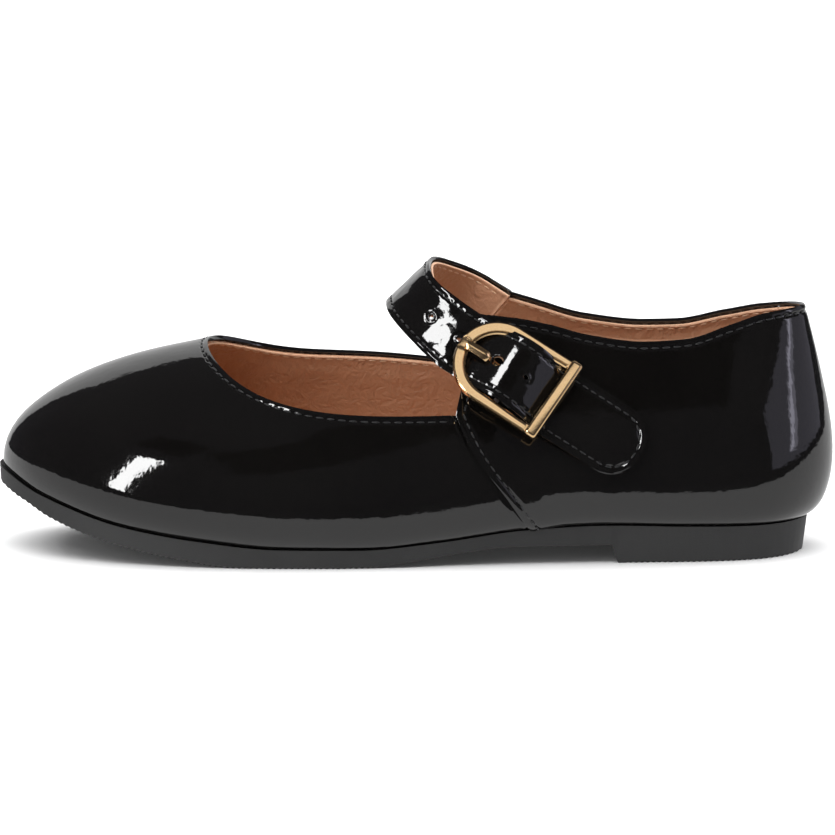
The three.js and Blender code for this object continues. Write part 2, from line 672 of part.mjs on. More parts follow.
band.translate(0, 0, BAND_HEIGHT - BAND_THICKNESS / 2);
const LUG_LENGTH = 3.4;
const lugTop = BAND_HEIGHT - BAND_THICKNESS / 4;
const lugBottom = PIN_HEIGHT - PIN_RADIUS - 0.4;
const lugs = [-1, 1].map((side) => {
  const lug = new THREE.BoxGeometry(LUG_LENGTH, BAND - 0.2, lugTop - lugBottom);
  lug.translate(PIN_OFFSET, side * (BUCKLE_WIDTH - BAND) / 2, (lugTop + lugBottom) / 2);
  return toSolid(lug);
});
const rearBar = new THREE.CylinderGeometry(REAR_BAR_RADIUS, REAR_BAR_RADIUS, BUCKLE_WIDTH + 1, 16);
rearBar.translate(rearBarAt, 0, BAND_HEIGHT + 0.2);
const pinHole = new THREE.CylinderGeometry(PIN_RADIUS + 0.1, PIN_RADIUS + 0.1, BUCKLE_WIDTH - 1, 16);
pinHole.translate(PIN_OFFSET, 0, PIN_HEIGHT);
const frame = toSolid(band).add(lugs[0]).add(lugs[1]).add(toSolid(rearBar))
  .subtract(toSolid(pinHole));
const placed = (geometry) => {
  geometry.applyMatrix4(buckleBasis);
  return geometry;
};
addNode('buckle_frame', placed(toGeometry(frame)), materials.brass);
const pin = new THREE.CylinderGeometry(PIN_RADIUS, PIN_RADIUS, BUCKLE_WIDTH - 1.4, 16);
pin.translate(PIN_OFFSET, 0, PIN_HEIGHT);
addNode('buckle_pin', placed(pin), materials.steel);

// The prong: an eye round the pin, and a tongue that leans through the strap onto the arch.
const EYE = 0.7;
const eyeInner = PIN_RADIUS + 0.15;
const eye = new THREE.Shape();
eye.absarc(0, 0, eyeInner + EYE, 0, 2 * Math.PI, false);
const eyeHole = new THREE.Path();
eyeHole.absarc(0, 0, eyeInner, 0, 2 * Math.PI, true);
eye.holes.push(eyeHole);
const eyeRing = new THREE.ExtrudeGeometry(eye, { depth: PRONG, bevelEnabled: false, curveSegments: 10 });
const rest = BAND_HEIGHT + BAND_THICKNESS / 2 + GAP - 0.1 - PIN_HEIGHT;
const reach = archCentre - archRadius - PIN_OFFSET + 1.4;
const tongue = new THREE.Shape();
tongue.moveTo(0.2, eyeInner + 0.1);
tongue.lineTo(-2.6, eyeInner + 0.05);
tongue.lineTo(-5.6, rest - 0.4);
tongue.lineTo(-7.4, rest);
tongue.lineTo(reach, rest);
tongue.lineTo(reach - 0.1, rest + 0.5);
tongue.lineTo(reach + 0.5, rest + 1.0);
tongue.lineTo(-8.2, rest + 1.3);
tongue.lineTo(-6.0, rest + 1.1);
tongue.lineTo(-3.4, eyeInner + 1.0);
tongue.lineTo(0.2, eyeInner + EYE - 0.05);
tongue.closePath();
const tongueBody = new THREE.ExtrudeGeometry(tongue, { depth: PRONG, bevelEnabled: false });
const prong = toSolid(eyeRing).add(toSolid(tongueBody));
const prongGeometry = toGeometry(prong);
prongGeometry.rotateX(Math.PI / 2);
prongGeometry.translate(PIN_OFFSET, PRONG / 2, PIN_HEIGHT);
addNode('buckle_prong', placed(prongGeometry), materials.brass);

// The tab: a loop of leather round the pin, its two ends stitched down on the quarter.
const tabInner = PIN_RADIUS + 0.15;
const tabOuter = tabInner + TAB;
const TAB_LENGTH = 6;
const tabLow = GAP + 0.15 - PIN_HEIGHT;
const tabHigh = tabLow + TAB + 0.15;
const tab = new THREE.Shape();
tab.moveTo(TAB_LENGTH, tabLow);
tab.absarc(0, 0, tabOuter, -Math.PI / 2, -3 * Math.PI / 2, true);
tab.lineTo(TAB_LENGTH, tabHigh + TAB);
tab.lineTo(TAB_LENGTH, tabHigh);
tab.absarc(0, 0, tabInner, Math.PI / 2, 3 * Math.PI / 2, false);
tab.lineTo(TAB_LENGTH, tabLow + TAB);
tab.closePath();
const tabBody = new THREE.ExtrudeGeometry(tab, { depth: TAB_WIDTH, bevelEnabled: false, curveSegments: 8 });
tabBody.translate(0, 0, -TAB_WIDTH / 2);
tabBody.rotateX(Math.PI / 2);
tabBody.translate(PIN_OFFSET, 0, PIN_HEIGHT);
const prongSlot = new THREE.BoxGeometry(6, PRONG + 2 * GAP, 8);
prongSlot.translate(PIN_OFFSET - 1.2, 0, PIN_HEIGHT);
addNode('buckle_tab', placed(toGeometry(toSolid(tabBody).subtract(toSolid(prongSlot)))),
  materials.patent);

// The origin is under the middle of the whole shoe.
const box = new THREE.Box3().setFromObject(group);
const middle = box.getCenter(new THREE.Vector3());
group.position.set(-middle.x, -middle.y, -box.min.z);

export default group;
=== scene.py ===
"""A child's left strap shoe in black patent leather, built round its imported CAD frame.

Sizes are in millimetres on the shoe's own last, as a shoemaker would give them. Each finished
piece is moved into the frame, in metres, by the one transform that the sole's box gives.
"""

import math

import bmesh
import bpy
import numpy as np
from mathutils import Matrix, Vector, noise


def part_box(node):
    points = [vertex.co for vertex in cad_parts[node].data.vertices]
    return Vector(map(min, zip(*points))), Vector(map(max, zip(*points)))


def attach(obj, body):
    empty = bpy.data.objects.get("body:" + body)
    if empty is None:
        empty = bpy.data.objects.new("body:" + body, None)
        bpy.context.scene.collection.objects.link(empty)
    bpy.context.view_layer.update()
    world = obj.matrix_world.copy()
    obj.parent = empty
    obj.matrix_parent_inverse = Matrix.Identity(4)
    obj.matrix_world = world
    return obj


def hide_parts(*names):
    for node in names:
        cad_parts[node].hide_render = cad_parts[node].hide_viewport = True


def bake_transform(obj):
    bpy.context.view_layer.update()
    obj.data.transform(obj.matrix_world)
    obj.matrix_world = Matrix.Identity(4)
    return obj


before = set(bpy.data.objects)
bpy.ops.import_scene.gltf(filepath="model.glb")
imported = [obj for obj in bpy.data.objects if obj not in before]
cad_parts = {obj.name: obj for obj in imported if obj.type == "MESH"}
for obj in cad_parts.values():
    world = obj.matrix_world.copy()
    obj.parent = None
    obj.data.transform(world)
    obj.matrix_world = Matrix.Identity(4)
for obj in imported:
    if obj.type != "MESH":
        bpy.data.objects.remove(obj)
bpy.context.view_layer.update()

# ---------------------------------------------------------------- the last
# The last is the foot-shaped form that the upper is pulled over, so every leather piece lies
# on its surface. Sixteen stations run round it: toe, outer side, heel, inner side. Between the
# sole's edge and the rim the wall bulges, and above the rim the collar leans on.
STATIONS = np.array([  # foot x, y; rim x, y, z; bulge; bend of the collar above the rim
    (-96.6, 4.0, -47.8, 2.5, 46.6, 10.4, 0),
    (-88.4, -15.5, -45.6, -9.5, 43.6, 9.4, 0),
    (-66.0, -28.0, -38.8, -18.5, 38.4, 7.4, 0),
    (-38.0, -32.0, -27.0, -25.0, 34.4, 5.5, 0),
    (-8.0, -32.0, -8.0, -27.5, 33.0, 3.8, 0.003),
    (22.0, -27.0, 20.0, -26.0, 34.0, 3.6, 0.004),
    (50.0, -24.5, 50.0, -23.5, 34.0, 3.6, 0.004),
    (81.5, -23.5, 84.0, -22.0, 34.0, 3.8, 0.005),
    (91.8, -2.5, 98.0, -2.0, 34.0, 5.2, 0.0003),
    (81.5, 18.5, 84.0, 17.5, 34.0, 3.8, 0.005),
    (50.0, 19.0, 50.0, 18.5, 34.5, 3.6, 0.004),
    (22.0, 21.5, 20.0, 20.5, 38.0, 4.0, 0.004),
    (-8.0, 29.0, -8.0, 24.5, 41.0, 4.4, 0.003),
    (-38.0, 31.0, -27.0, 24.0, 41.0, 5.5, 0),
    (-66.0, 30.5, -38.8, 19.5, 44.0, 7.4, 0),
    (-88.4, 21.0, -45.6, 12.0, 46.6, 9.4, 0),
])
EDGE_LINE = [  # height of the sole's upper edge along the shoe
    (-97, 18.4), (-84, 13.8), (-66, 8.4), (-48, 5.6), (-30, 4.0), (-12, 3.9),
    (6, 5.4), (24, 7.6), (42, 8.4), (60, 8.0), (80, 7.7), (100, 7.8),
]
TOPLINE = [  # height of the collar's edge along the shoe
    (8, 54.6), (16, 54.5), (24, 53.9), (31, 52.6), (40, 50.2), (52, 48.7), (61, 49.1),
    (73, 52.2), (82, 54.3), (96, 55.4),
]
INNER_SWEEP = [  # how much higher the inner collar stands, from the strap's root to the heel
    (19, 3.0), (27, 1.9), (36, 1.1), (50, 1.3), (64, 1.1), (84, 0),
]
RISE = (0, 0.06, 0.3, 0.56, 0.8, 1)         # share of the way from foot to rim
BULGE = (0, 0.8, 1.12, 0.98, 0.55, 0)       # share of the bulge there
LASTING_MARGIN = 8                          # leather turned under the foot
COLLAR_UNIT = 20                            # one unit of w above the rim
AROUND = len(STATIONS)
HEEL_AT = AROUND / 2


def along(knots, x):
    """Smooth curve through knots (x, value), flat at both ends, never past a knot's value."""
    at, value = np.array(knots, float).T
    rate = np.diff(value) / np.diff(at)
    product, total = rate[:-1] * rate[1:], rate[:-1] + rate[1:]
    slope = np.zeros(len(at))
    slope[1:-1] = np.where(product > 0, 2 * product / np.where(total == 0, 1, total), 0)
    i = np.clip(np.searchsorted(at, x) - 1, 0, len(at) - 2)
    span = at[i + 1] - at[i]
    t = np.clip((x - at[i]) / span, 0, 1)
    return ((2 * t**3 - 3 * t**2 + 1) * value[i] + (t**3 - 2 * t**2 + t) * span * slope[i]
            + (3 * t**2 - 2 * t**3) * value[i + 1] + (t**3 - t**2) * span * slope[i + 1])


def unit(vectors):
    """The vectors at length 1."""
    return vectors / np.linalg.norm(vectors, axis=-1, keepdims=True)


def control_points():
    """Six points up the wall at each station."""
    foot = np.c_[STATIONS[:, :2], along(EDGE_LINE, STATIONS[:, 0])]
    rim = STATIONS[:, 2:5]
    turn = np.roll(foot, -1, 0) - np.roll(foot, 1, 0)
    out = np.c_[turn[:, 1], -turn[:, 0], np.zeros(AROUND)]
    out *= np.sign((out[:, :2] * foot[:, :2]).sum(1))[:, None]
    chord = unit(rim - foot)
    out = unit(out)
    out = unit(out - chord * (out * chord).sum(1)[:, None])
    return np.stack([foot + (rim - foot) * rise + out * STATIONS[:, 5:6] * share
                     for rise, share in zip(RISE, BULGE)], 1)


CONTROL = control_points()
KNOTS = (0, 0, 0, 0, 1 / 3, 2 / 3, 1, 1, 1, 1)


def around(values, s):
    """Smooth closed curve round the stations, as a uniform cubic spline."""
    i = np.floor(s).astype(int)
    f = s - i
    weights = ((1 - f) ** 3 / 6, (3 * f**3 - 6 * f**2 + 4) / 6,
               (-3 * f**3 + 3 * f**2 + 3 * f + 1) / 6, f**3 / 6)
    return sum(w[..., None] * values[(i - 1 + k) % AROUND] for k, w in enumerate(weights))


def wall_weights(w):
    """Cubic spline weights of the six points up the wall."""
    u = np.clip(w, 0, 1 - 1e-9)
    made = [((a <= u) & (u < b)).astype(float) for a, b in zip(KNOTS, KNOTS[1:])]
    for p in (1, 2, 3):
        low = [max(KNOTS[i + p] - KNOTS[i], 1e-9) for i in range(len(made))]
        made = [(u - KNOTS[i]) / low[i] * made[i]
                + (KNOTS[i + p + 1] - u) / max(KNOTS[i + p + 1] - KNOTS[i + 1], 1e-9) * made[i + 1]
                for i in range(len(made) - 1)]
    return made


def inward(s):
    """Level direction towards the middle of the shoe, square to the sole's edge."""
    step = around(CONTROL[:, 0], s + 0.01) - around(CONTROL[:, 0], s - 0.01)
    return -unit(np.stack([step[..., 1], -step[..., 0], np.zeros_like(s)], -1))


def last(s, w):
    """Point at station s. w is -1 to 0 under the foot, 0 to 1 up the wall, more on the collar."""
    s, w = np.broadcast_arrays(np.asarray(s, float), np.asarray(w, float))
    foot = around(CONTROL[:, 0], s)
    wall = sum(weight[..., None] * around(CONTROL[:, j], s)
               for j, weight in enumerate(wall_weights(w)))
    lift = along(EDGE_LINE, foot[..., 0]) - foot[..., 2]
    wall[..., 2] += lift * (1 - np.clip(w, 0, 1)) ** 2
    margin = foot - inward(s) * (w * LASTING_MARGIN)[..., None]
    margin[..., 2] = along(EDGE_LINE, margin[..., 0])
    rim = around(CONTROL[:, 5], s)
    lean = rim - around(CONTROL[:, 4], s)
    height = (w - 1) * COLLAR_UNIT
    bend = around(STATIONS[:, 6:7], s)[..., 0]
    collar = (rim + lean * (height / lean[..., 2])[..., None]
              + inward(s) * (bend * height**2)[..., None])
    return np.where((w < 0)[..., None], margin, np.where((w > 1)[..., None], collar, wall))


def outward(s, w):
    """Unit normal of the last, away from the foot."""
    step = 0.004
    return unit(np.cross(last(s + step, w) - last(s - step, w),
                         last(s, w + step) - last(s, w - step)))


def collar_top(s):
    """Where the collar's edge is, in w; it sweeps up into the strap on the inner side."""
    rim = last(s, np.ones_like(s))
    sweep = along(INNER_SWEEP, rim[..., 0]) * (rim[..., 1] > 0)
    return 1 + (along(TOPLINE, rim[..., 0]) + sweep - rim[..., 2]) / COLLAR_UNIT


def smooth(a, b, x):
    """Rises softly from 0 at a to 1 at b."""
    t = np.clip((x - a) / (b - a), 0, 1)
    return t * t * (3 - 2 * t)


def run_length(points):
    """Length along a path at each of its points."""
    return np.r_[0, np.cumsum(np.linalg.norm(np.diff(points, axis=0), axis=1))]


# ---------------------------------------------------------------- outsole
# The sole and its low heel are one moulding in black rubber: a plate that lifts at the toe and
# the waist, a block under the heel, and fine ribs across the tread. It is cemented to the
# turned-in margin of the upper and stands out a little beyond it.
SOLE_EDGE = 0.8                             # rim beyond the upper
SOLE_TOP = -0.3                             # below the line where the upper meets it
SOLE_LIP = 0.5                              # the rim stands up against the upper
LIP_WIDTH = 6
TREAD_INSET = 0.15                          # tread's edge in from the rim
HEEL_FRONT = 45.5
HEEL_RAKE = 1.8                             # the front of the heel leans back going down
HEEL_TAPER = 1.0                            # heel's foot in from the rim
WAIST_LIFT = 4.2
WAIST = (-16, 24)                           # where the underside rises from ball to heel
UNDERSIDE = [(-97, 14.9), (-88, 12.1), (-82, 9.2), (-69, 5.0), (-52, 1.6), (-38, 0), (-16, 0)]
RIB_PITCH = 1.3
RIB_DEPTH = 0.22
RIBS_FADE = (-6, -14)                       # ribs under the forepart grow between these

whole_turn = np.linspace(0, AROUND, 1601)
sole_rim = last(whole_turn, 0.0) - inward(whole_turn) * SOLE_EDGE
low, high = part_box("outsole")
SHIFT = np.array([(low.x + high.x) * 500, (low.y + high.y) * 500, 0])
SHIFT -= (sole_rim.min(0) + sole_rim.max(0)) / 2 * (1, 1, 0)
TO_FRAME = Matrix.Diagonal((0.001, 0.001, 0.001, 1)) @ Matrix.Translation(SHIFT)


def grid(across, up, place):
    """A sheet of across by up faces, laid out by place(a, b) with a and b from 0 to 1. A fourth
    number in its rows is the distance from the piece's edge, which the leathers read."""
    bm = bmesh.new()
    bmesh.ops.create_grid(bm, x_segments=across, y_segments=up, size=0.5)
    at = np.array([v.co for v in bm.verts]) + 0.5
    rows = place(at[:, 0], at[:, 1])
    edge = bm.verts.layers.float.new("below_edge") if rows.shape[1] == 4 else None
    for vert, row in zip(bm.verts, rows):
        vert.co = row[:3]
        if edge:
            vert[edge] = row[3]
    return bm


def piece(name, bm, *materials, sharp=38):
    """Makes the bmesh, in millimetres on the last, a named piece in the frame."""
    bmesh.ops.remove_doubles(bm, verts=bm.verts, dist=2e-4)
    for face in bm.faces:
        face.smooth = True
    for edge in bm.edges:
        edge.smooth = len(edge.link_faces) != 2 or edge.calc_face_angle(0) < math.radians(sharp)
    bm.transform(TO_FRAME)
    mesh = bpy.data.meshes.new(name)
    bm.to_mesh(mesh)
    bm.free()
    for material in materials:
        mesh.materials.append(material)
    made = bpy.data.objects.new(name, mesh)
    bpy.context.scene.collection.objects.link(made)
    return made


def linear(hex_colour):
    """An sRGB hex colour as the linear RGBA that the shaders take."""
    parts = [int(hex_colour[i:i + 2], 16) / 255 for i in (0, 2, 4)]
    return [c / 12.92 if c <= 0.04045 else ((c + 0.055) / 1.055) ** 2.4 for c in parts] + [1]


def add(nodes, kind, values=(), **settings):
    """Adds a node with its settings. values gives its inputs numbers, colours or outputs."""
    node = nodes.new(kind)
    for name, value in settings.items():
        setattr(node, name, value)
    for name, value in dict(values).items():
        if isinstance(value, bpy.types.NodeSocket):
            nodes.id_data.links.new(value, node.inputs[name])
        else:
            node.inputs[name].default_value = value
    return node


def surface(name, **values):
    """A new material with one principled shader, and its nodes."""
    made = bpy.data.materials.new(name)
    made.use_nodes = True
    nodes = made.node_tree.nodes
    nodes.clear()
    shader = add(nodes, "ShaderNodeBsdfPrincipled",
                 {key.replace("_", " "): value for key, value in values.items()})
    add(nodes, "ShaderNodeOutputMaterial", {"Surface": shader.outputs[0]})
    return made, nodes, shader


def per_mm(millimetres):
    """Texture scale for a pattern of this size, as Object coordinates are in metres."""
    return 1000 / millimetres


def own_place(nodes):
    """Where a point is on its piece."""
    return add(nodes, "ShaderNodeTexCoord").outputs["Object"]


def grains(nodes, size, **values):
    """Soft noise with grains of this size."""
    return add(nodes, "ShaderNodeTexNoise", {"Vector": own_place(nodes), "Scale": per_mm(size),
                                             **values}).outputs["Fac"]


def between(nodes, share, first, second):
    """A colour that goes from the first to the second."""
    return add(nodes, "ShaderNodeMix", {0: share, 6: first, 7: second},
               data_type="RGBA").outputs[2]


def spread(nodes, share, low, high):
    """A share from 0 to 1, spread from low to high."""
    return add(nodes, "ShaderNodeMapRange", {"Value": share, 3: low, 4: high}).outputs[0]


def relief(nodes, height, depth, **values):
    """A relief this deep, in millimetres."""
    return add(nodes, "ShaderNodeBump", {"Height": height, "Distance": depth / 1000,
                                         **values}).outputs[0]


def finish(nodes, shader, colour, roughness=None, normal=None):
    """Joins what a finish is made of to its shader."""
    for name, output in (("Base Color", colour), ("Roughness", roughness), ("Normal", normal)):
        if output is not None:
            nodes.id_data.links.new(output, shader.inputs[name])


# Moulded rubber: dull, with the faint orange peel of its mould and a dusting of wear.
rubber, nodes, shader = surface("moulded_black_rubber", IOR=1.52)
dust = grains(nodes, 9, Detail=4)
finish(nodes, shader, between(nodes, dust, linear("161616"), linear("272727")),
       spread(nodes, dust, 0.52, 0.7),
       relief(nodes, grains(nodes, 0.45, Detail=3), 0.06, Strength=0.6))


def sole_under(x):
    """Height of the underside, which lifts at the toe and the waist."""
    return np.maximum(along(UNDERSIDE, x), 0) + WAIST_LIFT * smooth(*WAIST, x)


def sole_side(s, inset):
    """The line that runs round the sole this far in from the upper's foot."""
    return last(s, 0.0) + inward(s) * np.asarray(inset)[..., None]


def plan(a, b, inset):
    """Plan of a flat piece: a runs from toe to heel and b from the outer side to the inner."""
    turn = (1 - np.cos(np.pi * a)) / 2 * HEEL_AT
    outer, inner = sole_side(turn, inset), sole_side(AROUND - turn, inset)
    return outer + (inner - outer) * b[:, None]


def round_off(bm, edges, radius, segments):
    bmesh.ops.bevel(bm, geom=edges, offset=radius, segments=segments, profile=0.5,
                    affect="EDGES", material=-1, clamp_overlap=True)


def slab(columns, rows, bottom, top, rounding=0):
    """A closed slab between two faces, each laid out by a function of a and b, with round edges."""
    bm = grid(columns, rows, bottom)
    over = grid(columns, rows, top)
    layer = bm.verts.layers.float_vector.new("over")
    for vert, above in zip(bm.verts, over.verts):
        vert[layer] = above.co
    over.free()
    raised = bmesh.ops.extrude_face_region(bm, geom=list(bm.faces), use_keep_orig=True)["geom"]
    for vert in (g for g in raised if isinstance(g, bmesh.types.BMVert)):
        vert.co = vert[layer]
    bm.verts.layers.float_vector.remove(layer)
    bmesh.ops.remove_doubles(bm, verts=bm.verts, dist=1e-3)
    bmesh.ops.recalc_face_normals(bm, faces=bm.faces)
    corners = [e for e in bm.edges
               if len(e.link_faces) == 2 and e.calc_face_angle(0) > math.radians(50)]
    if rounding:
        round_off(bm, corners, rounding, 3)
    return bm


def in_body(made, body, slot, *nodes):
    """Tells the frame what a finished piece rides on, and hides the CAD nodes that it stands for;
    slot is not used.
    """
    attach(made, body)
    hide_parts(*nodes)
    return made


def sole_bottom(a, b):
    edge = TREAD_INSET - SOLE_EDGE + 0 * a
    x = plan(a, b, edge)[:, 0]
    in_heel = smooth(HEEL_FRONT - HEEL_RAKE, HEEL_FRONT, x)
    flat = plan(a, b, edge + (HEEL_TAPER - TREAD_INSET) * in_heel)
    ribs = 0.5 - 0.5 * np.cos(2 * np.pi * x / RIB_PITCH)
    tread = smooth(*RIBS_FADE, x) + smooth(HEEL_FRONT + 1.5, HEEL_FRONT + 2.5, x)
    flat[:, 2] = sole_under(x) * (1 - in_heel) + RIB_DEPTH * ribs * tread
    return flat


def sole_top(a, b):
    edge = -SOLE_EDGE + 0 * a
    flat = plan(a, b, edge)
    across = np.linalg.norm(plan(a, 0 * b + 1, edge) - plan(a, 0 * b, edge), axis=1)
    lip = SOLE_LIP * smooth(LIP_WIDTH, 0, np.minimum(b, 1 - b) * across)
    flat[:, 2] = along(EDGE_LINE, flat[:, 0]) + SOLE_TOP + lip
    return flat


bm = slab(1200, 8, sole_bottom, sole_top)
in_body(piece("moulded_sole", bm, rubber), "shoe", "sole_rubber", "outsole")


# ---------------------------------------------------------------- inside the bottom
# Between the sole and the foot lie a fibre board that the upper is lasted over, a cork filler
# level with the turned-in leather, and a spring-steel shank under the arch.
def paint(node, material):
    """Gives a carried-over CAD node its finish."""
    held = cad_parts[node]
    held.data.materials.clear()
    held.data.materials.append(material)


def mottled(name, first, second, size, roughness, depth):
    """A dull material in two mixed shades, for pieces made of fibres or grains of this size."""
    made, nodes, shader = surface(name, Roughness=roughness)
    mottle = grains(nodes, size, Detail=5, Roughness=0.7)
    finish(nodes, shader, between(nodes, mottle, linear(first), linear(second)),
           normal=relief(nodes, mottle, depth))
    return made


fibre_board = mottled("pressed_fibre_board", "8f7450", "c4a77c", 0.8, 0.9, 0.1)
cork = mottled("ground_cork", "6f4f31", "b58d61", 1.6, 0.95, 0.2)
stiffener = mottled("resin_stiffened_felt", "b9ad97", "d8cfbd", 0.5, 0.92, 0.1)
for node, material in (("insole_board", fibre_board), ("bottom_filler", cork),
                       ("toe_puff", stiffener), ("heel_counter", stiffener)):
    paint(node, material)

# Spring steel strip, rolled and oiled: fine grain along its length.
spring_steel, nodes, shader = surface("rolled_spring_steel", Metallic=1.0,
                                      Base_Color=linear("8c8e92"))
drawn_out = add(nodes, "ShaderNodeMapping", {"Vector": own_place(nodes), "Scale": (0.05, 1, 1)})
grain = grains(nodes, 0.3, Vector=drawn_out.outputs[0])
finish(nodes, shader, None, spread(nodes, grain, 0.28, 0.5))
paint("shank", spring_steel)

# ---------------------------------------------------------------- heel pad and sock liner
# A foam pad softens the heel, and a thin leather sock covers pad and board from toe to heel.
BOARD_LOW = 1.3                             # underside of the board above the edge line
BOARD = 1.5
HEEL_PAD = 2.0
PAD_START = 0.62                            # share of the way from toe to heel
PAD_INSET = 6.4
PAD_EDGE = 0.6                              # share of its thickness at the pad's edge
SOCK = 1.0
SOCK_INSET = 2.0
SOCK_STEP = (-6, 12)                        # where the sock climbs onto the heel pad
SOCK_CURL = 0.5                             # its edges turn up against the lining
GAP = 0.3
FAR_IN = 9                                  # below_edge where no cut edge is near


def board_high(x):
    """Height of the insole board's upper face."""
    slope = along(EDGE_LINE, x + 1) - along(EDGE_LINE, x - 1)
    return along(EDGE_LINE, x) + BOARD_LOW * np.hypot(1, slope) + BOARD


def pad_face(rise):
    def face(a, b):
        way = PAD_START + (1 - PAD_START) * (1 - np.cos(np.pi * a)) / 2
        turn = np.arccos(1 - 2 * way) / np.pi
        flat = plan(turn, b, PAD_INSET + 0 * a)
        crown = np.sqrt(np.clip(np.sin(np.pi * a) * np.sin(np.pi * b), 0, 1))
        flat[:, 2] = board_high(flat[:, 0]) + GAP + rise * (PAD_EDGE + (1 - PAD_EDGE) * crown)
        return flat
    return face


foam = mottled("latex_foam", "dcd2bb", "efe8d8", 0.35, 0.95, 0.1)
bm = slab(60, 30, pad_face(0), pad_face(HEEL_PAD), 0.4)
heel_pad = in_body(piece("foam_heel_pad", bm, foam), "shoe", "foam", "heel_pad")


def sock_face(rise):
    def face(a, b):
        flat = plan(a, b, SOCK_INSET + 0 * a)
        x = flat[:, 0]
        low = board_high(x) + GAP + smooth(*SOCK_STEP, x) * (HEEL_PAD + GAP)
        curl = smooth(0.86, 1, np.abs(2 * b - 1)) * SOCK_CURL
        flat[:, 2] = low + rise + curl
        return np.c_[flat, FAR_IN + 0 * a]
    return face


# Tan lining leather: matt and dry, with fine pores and soft creases. below_edge is the distance
# from the piece's edge;
# the strip above the stitches is painted paler: partly the cut edge's own paler, fuzzy colour,
# partly a painted highlight on that raised bead.
tan_leather, nodes, shader = surface("tan_lining_leather", IOR=1.45, Sheen_Weight=0.12,
                                     Sheen_Roughness=0.5)
clouds = grains(nodes, 7, Detail=4)
fibres = grains(nodes, 0.5, Detail=6, Roughness=0.65)
creases = grains(nodes, 3.2, Detail=2, Distortion=1.2)
pores = add(nodes, "ShaderNodeTexVoronoi", {"Vector": own_place(nodes), "Scale": per_mm(0.75)},
            feature="SMOOTH_F1")
dyed = between(nodes, clouds, linear("aa7c5f"), linear("c69674"))
speckled = between(nodes, fibres, dyed, linear("b3825f"))
depth = add(nodes, "ShaderNodeAttribute", attribute_name="below_edge")
ragged = add(nodes, "ShaderNodeMath", {0: fibres, 1: 0.7}, operation="MULTIPLY")
reach = add(nodes, "ShaderNodeMath", {0: depth.outputs["Fac"], 1: ragged.outputs[0]},
            operation="SUBTRACT")
# Pale band at the edge: the cut edge's own colour plus a painted highlight where the bead above the
# stitches catches the light.
pale_cut_edge_and_painted_highlight = add(nodes, "ShaderNodeMapRange", {"Value": reach.outputs[0], 1: 0.1, 2: 0.55, 3: 1, 4: 0})
fine = relief(nodes, pores.outputs["Distance"], 0.16, Strength=0.8)
nap = relief(nodes, fibres, 0.12, Normal=fine)
finish(nodes, shader, between(nodes, pale_cut_edge_and_painted_highlight.outputs[0], speckled, linear("d9ad8c")),
       spread(nodes, clouds, 0.5, 0.72), relief(nodes, creases, 0.5, Normal=nap))

bm = slab(150, 40, sock_face(0), sock_face(SOCK), 0.25)
in_body(piece("sock_leather", bm, tan_leather), "shoe", "lining_leather", "sock_liner")

# ---------------------------------------------------------------- linings
# The whole inside is lined in tan leather: one piece round the forepart and one in each
# quarter. Their top edges are trimmed just under the rim and held by the topline stitches.
LEATHER = 1.0
LINING = 0.8
STIFFENER = 0.6
TOE_PUFF_REACH = 2.3
COUNTER_REACH = 1.7
COUNTER_TOP = 1.55
SEAM_FOOT, SEAM_RIM, SEAM_TOP = 5.15, 4.6, 4.85
ROOT_REAR = (20.8, 54.8)                    # x and z where the strap leaves the inner side
ROOT_LEAN = 0.75                            # how far that edge leans back as it rises
STITCH_LINE = 1.45                          # thread below the rim
STITCH_PITCH = 2.5
TRIM = 0.6                                  # lining edge below the rim
DRAWN_UP = (7, 2)                           # lining closes on the leather between these depths
LINING_BEAD, LINING_GROOVE = 0.22, 0.14
LINING_FOOT = 0.06                          # lowest row of the lining, above the board
STATION = 28.5                              # millimetres between stations along the sides
LINING_BACK = 0.004                         # half the gap at the back seam, in stations
SHEET_WALL = 0.98                           # share of its thickness, so layers stay apart


def lining_depth(s, w):
    """How deep the lining's outer face lies: deeper where a stiffener is behind it."""
    turn = np.mod(s, AROUND)
    from_toe, from_heel = np.minimum(turn, AROUND - turn), np.abs(turn - HEEL_AT)
    toe = smooth(TOE_PUFF_REACH + 1, TOE_PUFF_REACH + 0.25, from_toe) * smooth(0.97, 0.8, w)
    heel = (smooth(COUNTER_REACH + 0.9, COUNTER_REACH + 0.2, from_heel)
            * smooth(COUNTER_TOP + 0.36, COUNTER_TOP + 0.12, w))
    return LEATHER + GAP + np.maximum(toe, heel) * (STIFFENER + GAP)


def seam(row):
    """Station of the side seam at a row."""
    return np.where(row <= 1, SEAM_FOOT + (SEAM_RIM - SEAM_FOOT) * np.clip(row, 0, 1),
                    SEAM_RIM + (SEAM_TOP - SEAM_RIM) * (row - 1))


def row_to_w(s, row):
    """Rows run to 1 at the rim and from there to 2 at the collar's edge."""
    return np.where(row <= 1, row, 1 + (collar_top(s) - 1) * (row - 1))


def root_line():
    """Station of the strap's root edge on the inner side, at rows from 1 to 2."""
    rows = np.linspace(1, 2, 21)
    s = AROUND - seam(np.ones(21))
    for _ in range(14):
        p, ahead = last(s, row_to_w(s, rows)), last(s + 0.01, row_to_w(s + 0.01, rows))
        line = ROOT_REAR[0] + (p[:, 2] - ROOT_REAR[1]) * ROOT_LEAN
        s = s + (line - p[:, 0]) / ((ahead[:, 0] - p[:, 0]) / 0.01)
    s[0] = AROUND - SEAM_RIM
    return rows, s


ROOT_ROWS, ROOT_STATIONS = root_line()


def inner_front(row):
    """Station of the inner quarter's front edge at a row: the seam, then the strap's root."""
    return np.where(row <= 1, AROUND - seam(np.minimum(row, 1)),
                    np.interp(row, ROOT_ROWS, ROOT_STATIONS))


def speed(s):
    """Millimetres of wall for one unit of w, just under the rim."""
    return np.linalg.norm(last(s, 0 * s + 0.999) - last(s, 0 * s + 0.989), axis=-1) * 100


